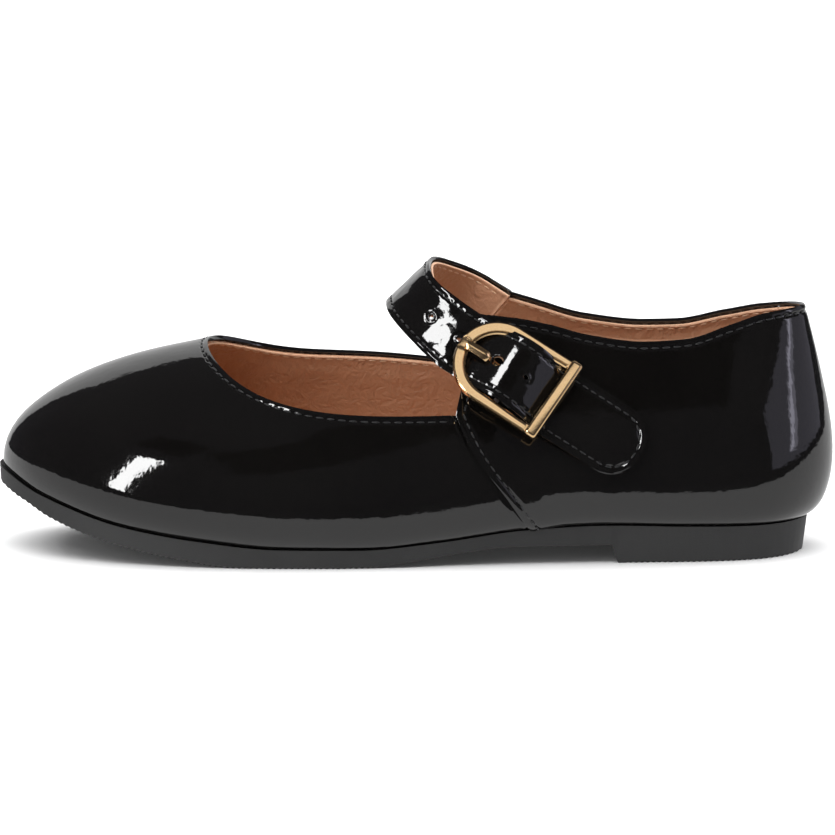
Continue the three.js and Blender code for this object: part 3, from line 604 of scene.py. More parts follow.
def rows_down(s, b, bottom, edge, zone=4.0, share=0.34, top_row=1.0):
    """Rows for b from 0 at the bottom to 1 at the edge, close together in the last zone.
    Gives the rows and how far each point lies below the rim, in millimetres."""
    unit_length = speed(s) if top_row == 1 else (collar_top(s) - 1) * COLLAR_UNIT
    below = np.interp(b, (1 - share, 1), (zone, edge))
    upper = top_row - below / unit_length
    last_row = top_row - zone / unit_length
    lower = bottom + (last_row - bottom) * b / (1 - share)
    row = np.where(b > 1 - share, upper, lower)
    return row, np.where(b > 1 - share, below, zone + 6)


def ridge(below, line, bead, groove):
    """Height across an edge: a soft bead on the edge, and a groove where the stitches pull."""
    soft = smooth(0, 0.45 * line, below) * smooth(line, 0.5 * line, below)
    return bead * soft - groove * np.exp(-((below - line) / 0.4) ** 2)


def thicken(made, thickness):
    """Gives a sheet its thickness, in millimetres, on its inner side."""
    wall = made.modifiers.new("leather", "SOLIDIFY")
    wall.thickness = thickness / 1000
    wall.offset = -1


def round_edges(made, radius, segments, corner=60):
    """Rounds each edge that turns by more than a corner's degrees."""
    edge = made.modifiers.new("edge", "BEVEL")
    edge.width = radius / 1000
    edge.segments = segments
    edge.limit_method = "ANGLE"
    edge.angle_limit = math.radians(corner)


def lining_points(s, row, below):
    """Inner face of a lining, drawn up against the leather near its edge."""
    w = row_to_w(s, row)
    tight = smooth(*DRAWN_UP, below) * (lining_depth(s, w) - LEATHER - 0.02)
    lump = ridge(below - TRIM, STITCH_LINE - TRIM, LINING_BEAD, LINING_GROOVE)
    depth = lining_depth(s, w) - tight + LINING + lump
    points = last(s, w) - outward(s, w) * depth[:, None]
    return points, below - TRIM


def lining_sheet(name, columns, rows, place, node):
    bm = grid(columns, rows, place)
    bmesh.ops.reverse_faces(bm, faces=bm.faces)
    made = piece(name, bm, tan_leather)
    thicken(made, LINING * SHEET_WALL)
    round_edges(made, 0.12, 2)
    in_body(made, "shoe", "lining_leather", node)


def vamp_rows(a, b, bottom, edge, past):
    """Stations and rows of the vamp, which runs this far past the side seams."""
    s = (2 * a - 1) * SEAM_RIM
    row, _ = rows_down(s, b, bottom, edge)
    s = (2 * a - 1) * (seam(row) + past)
    row, below = rows_down(s, b, bottom, edge)
    return s, row, below


def vamp_lining(a, b):
    s, row, below = vamp_rows(a, b, LINING_FOOT, TRIM, -0.01)
    points, edge = lining_points(s, row, below)
    seam_edge = (seam(row) - np.abs(s)) * STATION
    return np.c_[points, np.minimum(edge, seam_edge + 0.35)]


def quarter_rows(front, back, a, b, bottom, edge):
    """Stations and rows of a quarter, from its front edge to the back seam."""
    s = front(0 * a + 2) + (back - front(0 * a + 2)) * a
    row, below = rows_down(s, b, bottom, edge, top_row=2.0)
    s = front(row) + (back - front(row)) * a
    return s, row, below


def quarter_lining(front, back):
    def place(a, b):
        s, row, below = quarter_rows(front, back, a, b, LINING_FOOT, TRIM)
        points, edge = lining_points(s, row, below)
        front_edge = np.abs(s - front(row)) * STATION
        return np.c_[points, np.minimum(edge, front_edge + 0.1)]
    return place


def mirrored(place):
    """The same sheet run from the back seam forward, so that it faces out."""
    return lambda a, b: place(1 - a, b)


lining_sheet("forepart_lining", 300, 60, vamp_lining, "vamp_lining")
lining_sheet("outer_quarter_lining", 170, 60, quarter_lining(seam, HEEL_AT - LINING_BACK),
             "lining_lateral")
lining_sheet("inner_quarter_lining", 170, 60,
             mirrored(quarter_lining(inner_front, HEEL_AT + LINING_BACK)), "lining_medial")

# ---------------------------------------------------------------- vamp and quarters
# The upper is patent leather: split leather under a thick lacquer. The vamp covers the
# forepart, and a quarter on each side laps over it at a slanting seam and meets its mate at
# the back. Edges are turned in, so they are round, and a row of stitches draws a soft groove.
LAP = 0.5                                   # how far the quarter stands up on the vamp
LAP_STITCH = 1.9                            # lap stitches behind the quarter's front edge
LAP_PITCH = 2.2
UNDERLAP = 0.09                             # vamp under the quarter, in stations
UNDERLAP_SINK = 0.42                        # how far the vamp sinks there
SEAM_ROW = 30                               # millimetres of seam for one row
TURNED_UNDER = -0.8                         # lowest row, on the margin under the foot
BACK_SEAM = 0.001                           # half the back seam, in stations
BACK_DIP = 0.22

# Patent leather: black and mirror-bright, with the long swell of the leather below and the
# fine ripple of the lacquer. Its base hardly shows, since nearly all the light is reflected.
patent, nodes, shader = surface("black_patent_leather", IOR=1.6)
haze = grains(nodes, 22, Detail=3)
swell = relief(nodes, grains(nodes, 11, Detail=1), 0.3, Strength=0.5)
ripple = relief(nodes, grains(nodes, 1.7, Detail=2, Roughness=0.45), 0.03, Normal=swell)
finish(nodes, shader, between(nodes, haze, linear("080707"), linear("0f0e0d")),
       spread(nodes, haze, 0.035, 0.075), ripple)


def rim_arc(s, stations, w):
    """Length along an edge up to station s, measured once at the given stations."""
    return np.interp(s, stations, run_length(last(stations, w)))


VAMP_STATIONS = np.linspace(-SEAM_RIM - 0.3, SEAM_RIM + 0.3, 600)


def stitched_edge(below, length, pitch=STITCH_PITCH, line=STITCH_LINE):
    """Height of patent leather across a stitched edge, deeper at each needle hole."""
    holes = 0.5 + 0.5 * np.cos(2 * np.pi * length / pitch)
    dip = np.exp(-((below - line) / 0.42) ** 2)
    bead = smooth(0, 0.5, below) * smooth(line, 0.4 * line, below)
    return 0.1 * bead - dip * (0.12 + 0.14 * holes)


def vamp_outside(a, b):
    """Patent face of the vamp, which sinks under the quarters at its ends."""
    s, row, below = vamp_rows(a, b, TURNED_UNDER, 0.0, UNDERLAP)
    behind = (np.abs(s) - seam(row)) * STATION
    length = rim_arc(s, VAMP_STATIONS, np.ones(600))
    out = stitched_edge(below, length) * smooth(0.4, -1.5, behind)
    out = out - UNDERLAP_SINK * smooth(-0.9, -0.05, behind)
    points = last(s, row) + outward(s, row) * out[:, None]
    return np.c_[points, below]


def upper_sheet(name, columns, rows, place, node):
    made = piece(name, grid(columns, rows, place), patent)
    thicken(made, LEATHER * 0.94)
    round_edges(made, 0.42, 4)
    in_body(made, "shoe", "patent_leather", node)


upper_sheet("patent_vamp", 420, 62, vamp_outside, "vamp")


def quarter_outside(front, back):
    def place(a, b):
        s, row, below = quarter_rows(front, back, a, b, TURNED_UNDER, 0.0)
        w = row_to_w(s, row)
        behind = np.abs(s - front(row)) * STATION
        to_back = np.abs(s - back) * STATION
        lapped = smooth(1.12, 0.98, row) if front is inner_front else 1.0
        height = (row + 1) * SEAM_ROW
        out = LAP * smooth(8, 0.5, behind) * lapped
        out = out + stitched_edge(behind, height, LAP_PITCH, LAP_STITCH) * lapped
        stations = np.linspace(min(front(np.array(2.0)), back) - 0.3,
                               max(front(np.array(2.0)), back) + 0.3, 400)
        length = rim_arc(s, stations, collar_top(stations))
        out = out + stitched_edge(below, length)
        out = out - BACK_DIP * np.exp(-((to_back / 0.45) ** 2))
        return np.c_[last(s, w) + outward(s, w) * out[:, None], below]
    return place


upper_sheet("patent_outer_quarter", 260, 66, quarter_outside(seam, HEEL_AT - BACK_SEAM),
            "quarter_lateral")
upper_sheet("patent_inner_quarter", 260, 66,
            mirrored(quarter_outside(inner_front, HEEL_AT + BACK_SEAM)), "quarter_medial")

# ---------------------------------------------------------------- stitches of the upper
# Bonded nylon thread, black outside and tan inside, lies in short lengths between its needle
# holes: along the topline, and down each lapped seam.
THREAD = 0.21                               # radius
COVER = 0.74                                # share of the pitch that a stitch covers


def thread_material(name, colour, second):
    made, nodes, shader = surface(name, Roughness=0.42, Sheen_Weight=0.2)
    ply = grains(nodes, 0.25)
    finish(nodes, shader, between(nodes, ply, linear(colour), linear(second)),
           normal=relief(nodes, ply, 0.08))
    return made


black_thread = thread_material("black_nylon_thread", "070708", "131315")
tan_thread = thread_material("tan_nylon_thread", "b98d67", "dcb794")


def sew(name, points, normals, pitch, material):
    """A row of stitches along a path: each is a small round length of thread."""
    steps = run_length(points)
    count = int(steps[-1] / pitch)
    middle = (np.arange(count) + 0.5) * pitch
    pick = lambda values, at: np.stack([np.interp(at, steps, values[:, k]) for k in range(3)], 1)
    centre, up = pick(points, middle), unit(pick(normals, middle))
    way = unit(pick(points, middle + 0.2 * pitch) - pick(points, middle - 0.2 * pitch))
    side = unit(np.cross(up, way))
    bm = bmesh.new()
    for c, x, y, z in zip(centre, way, side, up):
        shape = Matrix.Identity(4)
        for axis, (vector, size) in enumerate(((x, COVER * pitch / 2), (y, THREAD), (z, THREAD))):
            shape.col[axis].xyz = Vector(vector) * size
        shape.col[3].xyz = Vector(c)
        bmesh.ops.create_uvsphere(bm, u_segments=8, v_segments=6, radius=1, matrix=shape)
    bmesh.ops.recalc_face_normals(bm, faces=bm.faces)
    return piece(name, bm, material, sharp=180)


def sew_on_last(name, s, w, out, pitch, material):
    """A row of stitches along stations and rows of the last, this far out from it."""
    normals = outward(s, w)
    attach(sew(name, last(s, w) + normals * out, normals, pitch, material), "shoe")


OUTER_THREAD = -0.06                        # thread's centre against the leather's surface
INNER_THREAD = -LEATHER - LINING - 0.05
SEAM_THREAD = LAP * 0.93 - 0.12

rim_w = 1 - STITCH_LINE / speed(VAMP_STATIONS)
for row_name, out, skip, thread in (("topline_stitches_", OUTER_THREAD, 18, black_thread),
                                    ("lining_stitches_", INNER_THREAD, 24, tan_thread)):
    sew_on_last(row_name + "vamp", VAMP_STATIONS[skip:-skip], rim_w[skip:-skip], out,
                STITCH_PITCH, thread)
for side, front, turn, seam_top in (("outer", seam, 1, 1.75), ("inner", inner_front, -1, 1.0)):
    s = np.linspace(float(front(np.array(2.0))), HEEL_AT, 400)[6:-3]
    w = collar_top(s) - STITCH_LINE / COLLAR_UNIT
    sew_on_last("topline_stitches_" + side, s, w, OUTER_THREAD, STITCH_PITCH, black_thread)
    sew_on_last("lining_stitches_" + side, s, w, INNER_THREAD, STITCH_PITCH, tan_thread)
    rows = np.linspace(0.02, seam_top, 300)
    s = front(rows) + turn * LAP_STITCH / STATION
    sew_on_last("side_seam_stitches_" + side, s, row_to_w(s, rows), SEAM_THREAD, LAP_PITCH,
                black_thread)

# ---------------------------------------------------------------- strap
# The strap leaves the inner quarter, arches over the instep, passes under the buckle's arch,
# over its pin and under its rear bar, and ends in a round tip. It is patent leather on a tan
# lining, stitched near its edge all round and punched for the prong.
STRAP_WIDTH = 14.2
STRAP_LINING = 0.6
STRAP_LEATHER = 0.9
STRAP_TAIL = 33.8                           # buckle centre to the end of the tip
TIP = 7                                     # length of the tip's curve
STRAP_SLOPE = math.radians(31.3)
STRAP_ALONG = (math.cos(STRAP_SLOPE), math.sin(STRAP_SLOPE))
STRAP_JOIN = -14.0                          # where the arch comes down on the quarter
STRAP_STITCH = 1.5
STRAP_PITCH = 2.15
ROOT_TUCK = 1.1                             # strap run on behind the quarter's front edge
LINING_INSET = 0.45                         # lining cut back from the strap's edge
TIP_LEAST = 0.0004                          # keeps the tip's last row from closing to a point
BUCKLE_X, BUCKLE_Z = 21.0, 41.8
STRAP_LIFT = [  # underside off the quarter, along the strap from the buckle's centre
    (-14, 0.35), (-10.5, 0.45), (-7, 1.5), (-4, 2.6), (-1.5, 3.7), (1, 4.3), (3, 4.1),
    (7, 2.3), (11, 0.5), (40, 0.5),
]
ARCH = np.array([  # rear edge, then front edge, from the inner quarter over the instep
    [(21.2, 0, 57.3), (10.6, 0, 43.3)],
    [(14.9, 13.2, 59.7), (6.4, 18.6, 47.2)],
    [(9.3, 9.6, 62.3), (0.9, 15.4, 50.8)],
    [(5.2, 3.4, 64.1), (-3.8, 8.0, 53.6)],
    [(4.4, -4.4, 63.3), (-5.4, -2.4, 54.4)],
    [(5.6, -10.6, 60.8), (-4.0, -11.4, 52.0)],
])


def on_wall(x, z, side):
    """Point and normal of the wall that is seen at x, z from the side (1 is the buckle's)."""
    x, z = np.broadcast_arrays(np.asarray(x, float), np.asarray(z, float))
    s = 4.5 + (x + 5) / 28 if side > 0 else AROUND - 4.5 - (x + 5) / 28
    w = np.where(z > 34, 1 + (z - 34) / COLLAR_UNIT, 0.6)
    step = 0.01
    for _ in range(16):
        p = last(s, w)
        ps, pw = (last(s + step, w) - p) / step, (last(s, w + step) - p) / step
        det = ps[..., 0] * pw[..., 2] - ps[..., 2] * pw[..., 0]
        ex, ez = x - p[..., 0], z - p[..., 2]
        s = s + (ex * pw[..., 2] - ez * pw[..., 0]) / det
        w = w + (ps[..., 0] * ez - ps[..., 2] * ex) / det
    return last(s, w), outward(s, w)


def strap_on_wall(d):
    """Rear edge, middle and front edge of the strap's underside, d past the buckle's centre."""
    half = STRAP_WIDTH / 2
    short = np.clip((half - (STRAP_TAIL - d)) / half, 0, 1)
    share = np.sqrt(np.maximum(1 - short**2, TIP_LEAST)) * (1 + 0.08 * smooth(6, 14, d))
    lines = []
    for sign in (1, 0, -1):
        off = sign * share * half
        point, normal = on_wall(BUCKLE_X + d * STRAP_ALONG[0] + off * STRAP_ALONG[1],
                                BUCKLE_Z - d * STRAP_ALONG[1] + off * STRAP_ALONG[0], 1)
        lines.append(point + normal * along(STRAP_LIFT, d)[:, None])
    return lines


def through(points, count):
    """Centripetal Catmull-Rom curve through points, up to the last but one."""
    padded = np.r_[[2 * points[0] - points[1]], points, [2 * points[-1] - points[-2]]]
    spans = len(points) - 2
    made = []
    for t in np.linspace(0, spans, count, endpoint=False):
        i = int(t)
        p0, p1, p2, p3 = padded[i:i + 4]
        d0, d1, d2 = (np.linalg.norm(q - p) ** 0.5 for p, q in ((p0, p1), (p1, p2), (p2, p3)))
        m1 = ((p1 - p0) / d0 - (p2 - p0) / (d0 + d1) + (p2 - p1) / d1) * d1
        m2 = ((p2 - p1) / d1 - (p3 - p1) / (d1 + d2) + (p3 - p2) / d2) * d1
        f = t - i
        made.append((2 * f**3 - 3 * f**2 + 1) * p1 + (f**3 - 2 * f**2 + f) * m1
                    + (3 * f**2 - 2 * f**3) * p2 + (f**3 - f**2) * m2)
    return np.array(made)


def strap_base():
    """Even steps along the strap's underside: rear edge, middle and front edge at each."""
    arch = ARCH.copy()
    for k in (0, 1):
        point, normal = on_wall(arch[0, k, 0], arch[0, k, 2], -1)
        arch[0, k] = point - normal * (STRAP_LINING + GAP + STRAP_LEATHER)
    rear, front = arch[:, 0], arch[:, 1]
    join = strap_on_wall(np.array([STRAP_JOIN, -11.0]))
    curves = [through(np.r_[line, join[k]], 240)
              for k, line in enumerate((rear, (rear + front) / 2, front))]
    tip_start = STRAP_TAIL - TIP
    closing = TIP * np.cos(np.linspace(0, 1, 40) * np.pi / 2) ** 1.5
    tail = strap_on_wall(np.r_[np.arange(STRAP_JOIN, tip_start, 0.35), STRAP_TAIL - closing])
    lines = [np.r_[curve, line] for curve, line in zip(curves, tail)]
    return run_length(lines[1]), lines


STRAP_STEPS, STRAP_LINES = strap_base()
STRAP_LENGTH = STRAP_STEPS[-1]


def strap_section(length):
    """Rear edge, middle and front edge at a length; below 0 it runs on straight."""
    before = np.minimum(length, 0)[:, None]
    return [np.stack([np.interp(length, STRAP_STEPS, line[:, k]) for k in range(3)], -1)
            + before * unit(line[3] - line[0]) for line in STRAP_LINES]


def soften(length):
    """The section averaged over a little of the strap's length, as leather takes no kink."""
    near = (-1.5, -0.75, 0, 0.75, 1.5)
    calm = smooth(STRAP_LENGTH - TIP, STRAP_LENGTH - 12, length) * smooth(0, 3, length)
    total = [0, 0, 0]
    for step in near:
        for k, line in enumerate(strap_section(length + step * calm)):
            total[k] = total[k] + line / len(near)
    return total


def strap_points(length, across, height):
    """Points of the strap: across is 0 on the front edge and 1 on the rear edge."""
    rear, middle, front = soften(length)
    b = across[:, None]
    base = (front * (1 - b) * (1 - 2 * b) + middle * 4 * b * (1 - b) + rear * b * (2 * b - 1))
    ahead, behind = soften(length + 0.4)[1], soften(length - 0.4)[1]
    width = strap_section(np.minimum(length, STRAP_LENGTH - 3))
    normal = unit(np.cross(ahead - behind, width[0] - width[2]))
    return base + normal * height[:, None], normal


def strap_edge(length, across):
    """Distance in from the strap's edge, and how far from its middle line."""
    half = STRAP_WIDTH / 2
    to_end = STRAP_LENGTH - length
    share = np.sqrt(np.clip(1 - np.clip((half - to_end) / half, 0, 1) ** 2, TIP_LEAST, 1))
    side = (across - 0.5) * 2 * half * share
    round_end = half - np.hypot(np.maximum(half - to_end, 0), side)
    return np.where(to_end < half, round_end, half - np.abs(side)), side


def crumple(points):
    """The slight creasing of a strap that has been bent, as a height."""
    return np.array([noise.noise(Vector(p) / 5.5) + 0.4 * noise.noise(Vector(p) / 2.3)
                     for p in points])


HOLE_WIDTH = 1.1
LINING_HOLE_WIDTH = 3.4
PRONG_SLOT = (2.6, 2.7)                     # the hole in use, pulled out by the prong
PRONG_AT = -5.4                             # prong hole, from the buckle's centre
HOLES = [PRONG_AT - 18.7, PRONG_AT - 10.3, PRONG_AT + 7.5]
STRAP_TOP = STRAP_LINING + GAP + STRAP_LEATHER
BUCKLE_LENGTH_AT = STRAP_LENGTH - STRAP_TAIL


def strap_outside(a, b):
    """Patent face of the strap: stitched edge, holes and creases, tucked in at its root."""
    length = a * (STRAP_LENGTH + ROOT_TUCK) - ROOT_TUCK
    edge, side = strap_edge(length, b)
    flat, _ = strap_points(length, b, STRAP_TOP + 0 * a)
    stitches = 0.5 + 0.5 * np.cos(2 * np.pi * length / STRAP_PITCH)
    dip = np.exp(-((edge - STRAP_STITCH) / 0.4) ** 2)
    bead = smooth(0, 0.6, edge) * smooth(STRAP_STITCH, 0.5 * STRAP_STITCH, edge)
    height = 0.12 * bead - dip * (0.14 + 0.12 * stitches)
    for hole in HOLES:                      # each hole has a pressed ring round a raised lip
        far = np.hypot(length - BUCKLE_LENGTH_AT - hole, side)
        height = height - 0.14 * np.exp(-((far - 1.2) / 0.22) ** 2)
        height = height + 0.1 * np.exp(-((far - 0.85) / 0.25) ** 2)
    loose = smooth(2, 10, length) * smooth(BUCKLE_LENGTH_AT - 6, BUCKLE_LENGTH_AT - 14, length)
    height = height + 0.16 * crumple(flat) * (0.25 + 0.75 * loose)
    height = height - 0.5 * smooth(0.2, -0.9, length)
    points, _ = strap_points(length, b, STRAP_TOP + height)
    return np.c_[points, edge]


def strap_inside(a, b):
    """Lining face of the strap, cut back from its edge."""
    length = a * (STRAP_LENGTH + ROOT_TUCK - LINING_INSET) - ROOT_TUCK
    b = 0.5 + (b - 0.5) * (1 - 2 * LINING_INSET / STRAP_WIDTH)
    edge, _ = strap_edge(length, b)
    points, _ = strap_points(length, b, 0 * a + 0.02 - 0.12 * ridge(edge, 1.5, 1, 0.8))
    return np.c_[points, np.minimum(edge, length + 1.2)]


def settle(made, *cutters):
    """Cuts the given holes and fixes a piece's modifiers into its mesh."""
    for cutter in cutters:
        cut = made.modifiers.new("hole", "BOOLEAN")
        cut.object = cutter
        cut.solver = "EXACT"
    mesh = bpy.data.meshes.new_from_object(
        made.evaluated_get(bpy.context.evaluated_depsgraph_get()))
    made.modifiers.clear()
    made.data = mesh
    return made


def layer(name, place, material, thickness, rounding, flip=False):
    """One of the strap's two leathers, as a sheet with its modifiers still on."""
    bm = grid(330, 52, place)
    if flip:
        bmesh.ops.reverse_faces(bm, faces=bm.faces)
    made = piece(name, bm, material)
    thicken(made, thickness)
    round_edges(made, rounding, 3)
    return made


# The buckle's own axes: u along the strap to its tip, v across it, n off the quarter.
seat, n_axis = on_wall(BUCKLE_X, BUCKLE_Z, 1)
u_axis = on_wall(BUCKLE_X + STRAP_ALONG[0], BUCKLE_Z - STRAP_ALONG[1], 1)[0] - seat
u_axis = unit(u_axis - n_axis * (u_axis @ n_axis))
v_axis = np.cross(n_axis, u_axis)
BUCKLE = Matrix.Identity(4)
for column, vector in enumerate((u_axis, v_axis, n_axis, seat)):
    BUCKLE.col[column].xyz = Vector(vector)


def punch(at, length, width):
    """A cutter through the strap at a place along it; a slot is square to the buckle."""
    centre, normal = strap_points(np.array([BUCKLE_LENGTH_AT + at]), np.array([0.5]),
                                  np.zeros(1))
    bm = bmesh.new()
    bmesh.ops.create_cone(bm, cap_ends=True, segments=28, radius1=1, radius2=1, depth=12)
    bmesh.ops.scale(bm, vec=(length / 2, width / 2, 1), verts=bm.verts)
    turn = Vector((0, 0, 1)).rotation_difference(Vector(normal[0])).to_matrix().to_4x4()
    if length != width:
        turn = BUCKLE.to_3x3().to_4x4()
    bm.transform(Matrix.Translation(Vector(centre[0])) @ turn)
    return piece("punch", bm, rubber)


strap_outer = layer("patent_strap", strap_outside, patent, STRAP_LEATHER * 0.96, 0.36)
strap_lining = layer("strap_lining_leather", strap_inside, tan_leather, STRAP_LINING * 0.97, 0.1,
                     flip=True)
cutters = [punch(hole, HOLE_WIDTH, HOLE_WIDTH) for hole in HOLES]
wider = [punch(hole, LINING_HOLE_WIDTH, LINING_HOLE_WIDTH) for hole in HOLES]
prong_hole = punch(PRONG_AT + 0.25, *PRONG_SLOT)
settle(strap_outer, prong_hole, *cutters)
settle(strap_lining, prong_hole, *wider)
for cutter in (prong_hole, *cutters, *wider):
    bpy.data.objects.remove(cutter)

# One row of stitches runs down an edge, round the tip and back along the other edge.
half = STRAP_WIDTH / 2
tip = np.linspace(-1, 1, 60) * np.pi / 2
run = np.linspace(0.3, STRAP_LENGTH - half, 400)
inset = half - STRAP_STITCH
loop_length = np.r_[run, STRAP_LENGTH - half + inset * np.cos(tip), run[::-1]]
loop_side = np.r_[-inset + 0 * run, inset * np.sin(tip), inset + 0 * run]
to_end = np.clip((half - (STRAP_LENGTH - loop_length)) / half, 0, 1)
loop_across = 0.5 + loop_side / (2 * half * np.sqrt(np.maximum(1 - to_end**2, TIP_LEAST)))
strap_thread, under_thread = (
    sew(name, *strap_points(loop_length, loop_across, height + 0 * loop_length), STRAP_PITCH,
        thread)
    for name, height, thread in (("strap_stitches", STRAP_TOP - 0.08, black_thread),
                                 ("strap_lining_stitches", 0.02, tan_thread)))

# The strap's pieces and stitches have their placing baked into their meshes, and the CAD nodes that
# they replace are hidden.
for made, slot_name, node in ((strap_outer, "patent_leather", "strap_outer"),
                              (strap_lining, "lining_leather", "strap_lining"),
                              (strap_thread, None, None), (under_thread, None, None)):
    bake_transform(made)
    if node:
        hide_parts(node)

# ---------------------------------------------------------------- buckle
# A flat cast D with an arch in front and a straight bar behind, plated pale gold. Its lugs
# hold a steel pin; the prong turns on the pin, comes up through the strap and rests in a
# shallow seat in the arch. A leather tab holds the pin on the outer quarter.
BUCKLE_SHIFT = -0.6                         # across the strap
ARM = 9.9                                   # middle line to the arms' outer edge
CROWN_AT, BAR_FRONT, BAR_REAR = -13.0, 10.3, 13.1
BAND_LOW, BAND_TOP = 2.9, 4.75
BAND_WIDTH = [(CROWN_AT, 2.9), (CROWN_AT + ARM, 2.7), (BAR_FRONT, 2.1)]
SEAT_DEPTH, SEAT_HALF = 0.32, 1.5           # the prong's seat in the arch
BAR_LOW, BAR_TOP = 2.9, 5.5
BAR_OVER = 0.3                              # bar beyond the arms
PIN_AT, PIN_HIGH, PIN_RADIUS = 1.0, 2.4, 0.6
BUCKLE.col[3].xyz = Vector(seat + v_axis * BUCKLE_SHIFT)

# Pale gold plate, satin from tumbling rather than mirror-bright.
gold, nodes, shader = surface("satin_gold_plate", Metallic=1.0, Roughness=0.2)
tumble = grains(nodes, 0.5, Detail=4)
finish(nodes, shader, between(nodes, tumble, linear("e9c08c"), linear("f6d3a2")),
       normal=relief(nodes, tumble, 0.01))

# Turned steel wire.
pin_steel = surface("turned_steel_wire", Metallic=1.0, Roughness=0.3,
                    Base_Color=linear("b9bbc0"))[0]


def buckle_piece(name, bm, material, body, slot, node, rounding=0.0, sharp=24):
    """A piece drawn in the buckle's axes, set on the shoe."""
    bmesh.ops.recalc_face_normals(bm, faces=bm.faces)
    bm.transform(BUCKLE)
    made = piece(name, bm, material, sharp=sharp)
    if rounding:
        round_edges(made, rounding, 3, corner=35)
    return in_body(made, body, slot, node)


def loft(rings):
    """Closed skin over rings of points, all alike."""
    bm = bmesh.new()
    loops = [[bm.verts.new(p) for p in ring] for ring in rings]
    for first, second in zip(loops, loops[1:]):
        for k in range(len(first)):
            n = (k + 1) % len(first)
            bm.faces.new((first[k], first[n], second[n], second[k]))
    bm.faces.new(loops[0][::-1])
    bm.faces.new(loops[-1])
    return bm


def box_at(low, high, rounding=0, segments=0):
    """A box between two corners, with rounded edges where a radius is given."""
    bm = bmesh.new()
    bmesh.ops.create_cube(bm, size=1)
    size, middle = Vector(high) - Vector(low), (Vector(high) + Vector(low)) / 2
    bm.transform(Matrix.Translation(middle) @ Matrix.Diagonal(size).to_4x4())
    if rounding:
        round_off(bm, bm.edges, rounding, segments)
    return bm


def joined(*parts):
    """The parts' meshes as one mesh."""
    whole = bmesh.new()
    for part in parts:
        mesh = bpy.data.meshes.new("part")
        part.to_mesh(mesh)
        whole.from_mesh(mesh)
        bpy.data.meshes.remove(mesh)
    return whole


# The band's outline is swept from the bar round the arch and back: a bevel at its outer edge,
# a flat top and a step down to the inside. The top is sunk in the arch, where the prong rests.
arch_centre = CROWN_AT + ARM
arm_run = np.linspace(BAR_FRONT - 0.35, arch_centre, 14)
turn = np.linspace(0, np.pi, 73)[1:-1]
path = np.r_[np.c_[arm_run, 0 * arm_run + ARM],
             np.c_[arch_centre - ARM * np.sin(turn), ARM * np.cos(turn)],
             np.c_[arm_run[::-1], 0 * arm_run - ARM]]
inward_way = np.r_[np.c_[0 * arm_run, 0 * arm_run - 1],
                   np.c_[np.sin(turn), -np.cos(turn)],
                   np.c_[0 * arm_run, 0 * arm_run + 1]]
rings = []
for (u, v), (du, dv) in zip(path, inward_way):
    width = along(BAND_WIDTH, u)
    sunk = SEAT_DEPTH * math.exp(-((v / SEAT_HALF) ** 4)) if u < arch_centre else 0.0
    outline = [(0.12, BAND_LOW), (0, BAND_LOW + 0.3), (0, BAND_TOP - 0.6),
               (0.14, BAND_TOP - 0.2), (0.45, BAND_TOP), (width - 0.85, BAND_TOP),
               (width - 0.72, BAND_TOP - 0.1), (width - 0.62, BAND_TOP - 0.34),
               (width - 0.3, BAND_TOP - 0.42), (width - 0.05, BAND_TOP - 0.7),
               (width, BAND_LOW + 0.3), (width - 0.12, BAND_LOW)]
    rings.append([(u + du * t, v + dv * t,
                   h - (sunk if t > 0.4 and h > BAND_TOP - 0.5 else 0)) for t, h in outline])
band = loft(rings)
necks = [box_at((BAR_FRONT - 0.5, side * (ARM - 1.05) - 0.75, BAND_LOW + 0.35),
                (BAR_FRONT + 0.3, side * (ARM - 1.05) + 0.75, BAND_TOP - 0.35))
         for side in (-1, 1)]
bar = box_at((BAR_FRONT, -ARM - BAR_OVER, BAR_LOW), (BAR_REAR, ARM + BAR_OVER, BAR_TOP), 0.75, 5)
lugs = [box_at((PIN_AT - 1.6, side * (ARM - 1.25) - 0.95, PIN_HIGH - 1.0),
               (PIN_AT + 1.6, side * (ARM - 1.25) + 0.95, BAND_LOW + 0.4), 0.3, 3)
        for side in (-1, 1)]
buckle_frame = buckle_piece("gold_buckle_frame", joined(band, *necks, bar, *lugs), gold,
                            "buckle", "buckle_metal", "buckle_frame")

bm = bmesh.new()
bmesh.ops.create_cone(bm, cap_ends=True, segments=32, radius1=PIN_RADIUS, radius2=PIN_RADIUS,
                      depth=2 * ARM - 2.6)
bm.transform(Matrix.Translation((PIN_AT, 0, PIN_HIGH)) @ Matrix.Rotation(math.pi / 2, 4, "X"))
buckle_pin = buckle_piece("buckle_pin", bm, pin_steel, "buckle", "pin_steel", "buckle_pin",
                          rounding=0.1, sharp=30)

# Prong: a ridged bar along a bent path, and its eye round the pin.
EYE_INSIDE, EYE_OUTSIDE = 0.72, 1.4
EYE_HALF = 0.85
PRONG_PATH = [  # u, height above the pin's middle and width, from the eye to the point
    (PIN_AT - 0.9, 0.5, 1.7), (-1.6, 0.2, 1.8), (-3.2, -0.05, 1.9), (-4.5, 0.2, 2.0),
    (-5.1, 1.4, 2.1), (-5.6, 2.4, 2.2), (-6.4, 2.8, 2.3), (-8.6, 2.75, 2.3), (-10.5, 2.65, 2.2),
    (-11.2, 2.55, 1.5),
]
PRONG_SECTION = [  # share of its width, height
    (-0.36, -0.42), (-0.5, -0.25), (-0.5, 0.1), (-0.4, 0.24), (-0.06, 0.5), (0.06, 0.5),
    (0.4, 0.24), (0.5, 0.1), (0.5, -0.25), (0.36, -0.42),
]
spine = np.array(PRONG_PATH) + (0, PIN_HIGH, 0)
index = np.arange(len(spine))
fine = np.linspace(0, len(spine) - 1, 64)
